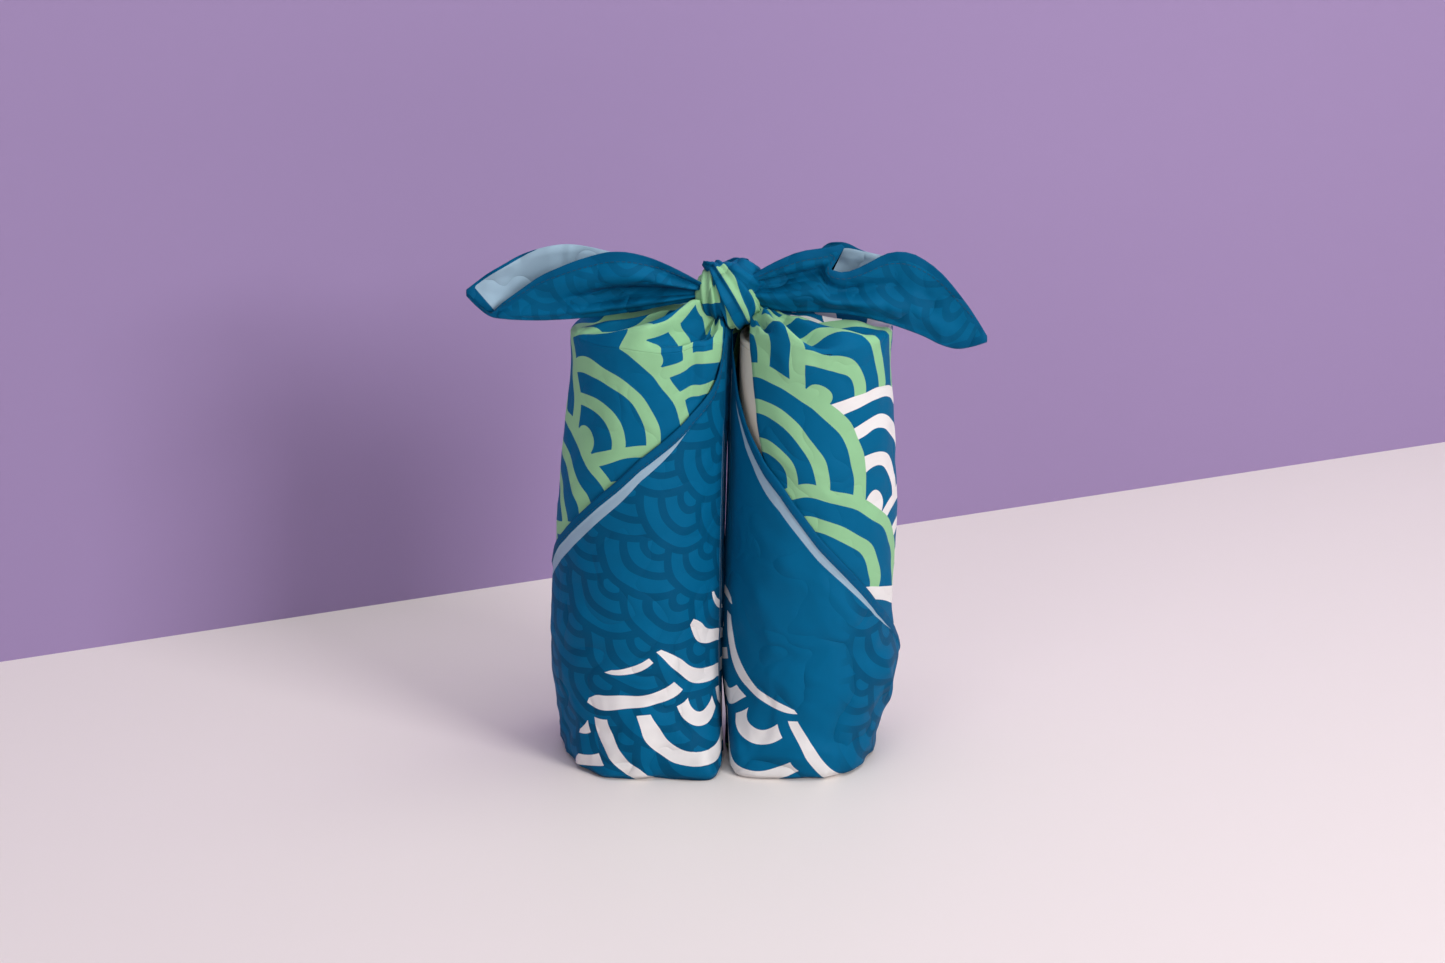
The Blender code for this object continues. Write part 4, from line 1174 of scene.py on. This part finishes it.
def buildCloth(patch, material):
    mesh = bpy.data.meshes.new("furoshikiCloth")
    mesh.from_pydata([point * mm for point in patch["points"]], [], patch["faces"])
    for name, key in (("hemDistance", "hem"), ("bandWidth", "band"), ("greenShare", "green"),
                      ("tonalShare", "tonal"), ("whiteShare", "white")):
        layer = mesh.attributes.new(name, "FLOAT", "POINT")
        layer.data.foreach_set("value", patch[key])
    uvLayer = mesh.uv_layers.new(name="clothUv")
    flat = []
    for loop in mesh.loops:
        index = loop.vertex_index
        flat += [patch["across"][index] * mm, patch["up"][index] * mm]
    uvLayer.data.foreach_set("uv", flat)
    piece = addObject("furoshikiCloth", mesh)
    mesh.materials.append(material)

    work = bmesh.new()
    work.from_mesh(mesh)
    bmesh.ops.remove_doubles(work, verts=work.verts, dist=0.00001)
    bmesh.ops.dissolve_degenerate(work, dist=0.000001, edges=work.edges)
    work.to_mesh(mesh)
    work.free()
    for polygon in mesh.polygons:
        polygon.use_smooth = True
    shell = piece.modifiers.new("thickness", "SOLIDIFY")
    shell.thickness = cloth["thickness"] * mm
    shell.offset = -1.0
    applyModifiers(piece, "furoshikiCloth")
    return piece


wavePrint = makeWavePrint()
weave = makeWeave()
printedCloth = makeClothMaterial(wavePrint, weave)
furoshiki = buildCloth(clothPatch, printedCloth)
print("cloth built,", len(furoshiki.data.polygons), "faces")


# Canisters
canister = {
    "radius": 34.8, "bottom": 5.0, "top": 208.6, "segments": 96,
    "bevel": 1.0, "lidDepth": 1.9, "sharpAngle": 40.0,
    "paper": ((0.84, 0.76, 0.65), (0.74, 0.67, 0.57)),    # lighter and darker fibres
    "fiberBump": (0.15, 0.0001),                          # strength and depth
    # profile of the upper end: radius less than the full one, height below the top
    "rim": ((0.0, 3.4), (0.35, 3.0), (0.35, 2.6), (0.0, 2.3), (0.0, 0.5), (0.35, 0.1), (0.9, 0.0),
            (1.5, 0.1), (1.8, 0.6), (1.9, 1.6), (3.0, 1.8)),
}


def makeCanister(name, side, material):
    full, bottom, top = canister["radius"], canister["bottom"], canister["top"]
    bevel, segments = canister["bevel"], canister["segments"]
    profile = [(0.0, bottom), (full - bevel, bottom), (full, bottom + bevel)]
    profile += [(full - less, top - below) for less, below in canister["rim"]]
    profile.append((0.0, top - canister["lidDepth"]))
    work = bmesh.new()
    rings = []
    for radius, z in profile:
        ring = []
        for j in range(segments if radius > 0.0 else 1):
            turn = 2.0 * math.pi * j / segments
            x = side * wrap["axisDistance"] + radius * math.cos(turn) + wrap["lean"] * z + wrap["shiftX"]
            ring.append(work.verts.new((x * mm, radius * math.sin(turn) * mm, z * mm)))
        rings.append(ring)
    for low, high in zip(rings, rings[1:]):
        for j in range(segments):
            k = (j + 1) % segments
            corners = [low[j % len(low)], low[k % len(low)], high[k % len(high)], high[j % len(high)]]
            work.faces.new(list(dict.fromkeys(corners)))
    bmesh.ops.recalc_face_normals(work, faces=work.faces)
    mesh = bpy.data.meshes.new(name)
    work.to_mesh(mesh)
    work.free()
    for polygon in mesh.polygons:
        polygon.use_smooth = True
    mesh.set_sharp_from_angle(angle=math.radians(canister["sharpAngle"]))
    mesh.materials.append(material)
    return addObject(name, mesh)


def makePaper():
    material = bpy.data.materials.new("canisterPaper")
    material.use_nodes = True
    tree = material.node_tree
    shader = tree.nodes["Principled BSDF"]
    coords = tree.nodes.new("ShaderNodeTexCoord")
    fibers = noiseValue(tree, coords.outputs["Object"], 420.0, 5.0)
    cloud = noiseValue(tree, coords.outputs["Object"], 30.0, 2.0)
    share = calc(tree, "MULTIPLY_ADD", fibers, 0.35, calc(tree, "MULTIPLY", cloud, 0.5))
    color = mixColor(tree, share, *canister["paper"])
    tree.links.new(color, shader.inputs["Base Color"])
    tree.links.new(calc(tree, "MULTIPLY_ADD", fibers, 0.2, 0.5), shader.inputs["Roughness"])
    bump = addBump(tree, fibers, *canister["fiberBump"])
    tree.links.new(bump.outputs[0], shader.inputs["Normal"])
    return material


paper = makePaper()
for node, side in (("canister_left", -1), ("canister_right", 1)):
    piece = makeCanister(node + "_piece", side, paper)
    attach(piece, "root")
    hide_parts(node)
print("canisters made")


# Stitches along the hems
stitch = {
    "pitch": 2.6, "length": 1.7, "thick": 0.26, "inset": 3.2,
    "thread": (0.0, 0.045, 0.10),
    "threadRoughness": 0.6,
    "turnStep": 2.0,                       # degrees between the points of a flap's hem line
    "turnShort": 30.0,                     # how much sooner it stops than the flap
    "proud": 0.12,
    # the rows on a tied end: share of the way round it, and how far off the cloth
    "tailRows": ((0.93, -0.15), (0.055, 0.15)),
}


def makeStitchTree(material):
    tree = bpy.data.node_groups.new("stitchRow", "GeometryNodeTree")
    tree.interface.new_socket("Geometry", in_out="INPUT", socket_type="NodeSocketGeometry")
    for label, key in (("Pitch", "pitch"), ("Length", "length"), ("Thickness", "thick")):
        socket = tree.interface.new_socket(label, in_out="INPUT", socket_type="NodeSocketFloat")
        socket.default_value = stitch[key] * mm
    tree.interface.new_socket("Geometry", in_out="OUTPUT", socket_type="NodeSocketGeometry")
    nodes, links = tree.nodes, tree.links
    given = nodes.new("NodeGroupInput")
    made = nodes.new("NodeGroupOutput")
    toCurve = nodes.new("GeometryNodeMeshToCurve")
    links.new(given.outputs["Geometry"], toCurve.inputs["Mesh"])
    points = nodes.new("GeometryNodeCurveToPoints")
    points.mode = "LENGTH"
    links.new(toCurve.outputs["Curve"], points.inputs["Curve"])
    links.new(given.outputs["Pitch"], points.inputs["Length"])
    thread = nodes.new("GeometryNodeMeshCylinder")
    thread.inputs["Vertices"].default_value = 6
    half = nodes.new("ShaderNodeMath")
    half.operation = "MULTIPLY"
    half.inputs[1].default_value = 0.5
    links.new(given.outputs["Thickness"], half.inputs[0])
    links.new(half.outputs[0], thread.inputs["Radius"])
    links.new(given.outputs["Length"], thread.inputs["Depth"])
    instances = nodes.new("GeometryNodeInstanceOnPoints")
    links.new(points.outputs["Points"], instances.inputs["Points"])
    links.new(points.outputs["Rotation"], instances.inputs["Rotation"])
    links.new(thread.outputs["Mesh"], instances.inputs["Instance"])
    realize = nodes.new("GeometryNodeRealizeInstances")
    links.new(instances.outputs[0], realize.inputs[0])
    finish = nodes.new("GeometryNodeSetMaterial")
    finish.inputs["Material"].default_value = material
    links.new(realize.outputs[0], finish.inputs["Geometry"])
    links.new(finish.outputs[0], made.inputs["Geometry"])
    return tree


def makeStitchRow(name, lines, tree):
    points, edges = [], []
    for line in lines:
        start = len(points)
        points += [point * mm for point in line]
        edges += [(start + i, start + i + 1) for i in range(len(line) - 1)]
    mesh = bpy.data.meshes.new(name)
    mesh.from_pydata(points, edges, [])
    guide = addObject(name, mesh)
    guide.modifiers.new("stitches", "NODES").node_group = tree
    applyModifiers(guide, name)
    return guide


def hemLine(column):
    # a line just inside the hem of the flap, riding on the cloth
    points = []
    turn = column["split"] + stitch["turnStep"]
    while turn < column["last"] - stitch["turnShort"]:
        top = hemHeight(column, turn - 360.0)
        height = top - stitch["inset"] * wrap["hemSlant"]
        point = wallPoint(column, turn, height, stitch["inset"])
        axis = placePoint(column, wrap["axisDistance"], 0.0, height)
        away = Vector((point.x - axis.x, point.y, 0.0)).normalized()
        points.append(point + away * stitch["proud"])
        turn += stitch["turnStep"]
    return points


def tailLines(tail):
    # lines just inside the front and back edges of a tied end
    lines = []
    xs = [row[0] for row in tail["rows"]]
    for share, off in stitch["tailRows"]:
        points = []
        for j in range(8, 61):
            x = blend(xs[0], xs[-1], j / 64.0)
            point = tailPoint(tail, x, share, 0.0)
            points.append(point + Vector((0.0, off, 0.0)))
        lines.append(points)
    return lines


threadMaterial = plainMaterial("hemThread", stitch["thread"], stitch["threadRoughness"])
stitchTree = makeStitchTree(threadMaterial)
lines = [hemLine(leftColumn), hemLine(rightColumn)]
for tail in tails.values():
    lines += tailLines(tail)
hemStitches = makeStitchRow("hemStitches", lines, stitchTree)
print("stitches made,", len(hemStitches.data.polygons), "faces")


# Hand the pieces to the frame
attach(furoshiki, "root")
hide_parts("furoshiki")
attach(hemStitches, "root")
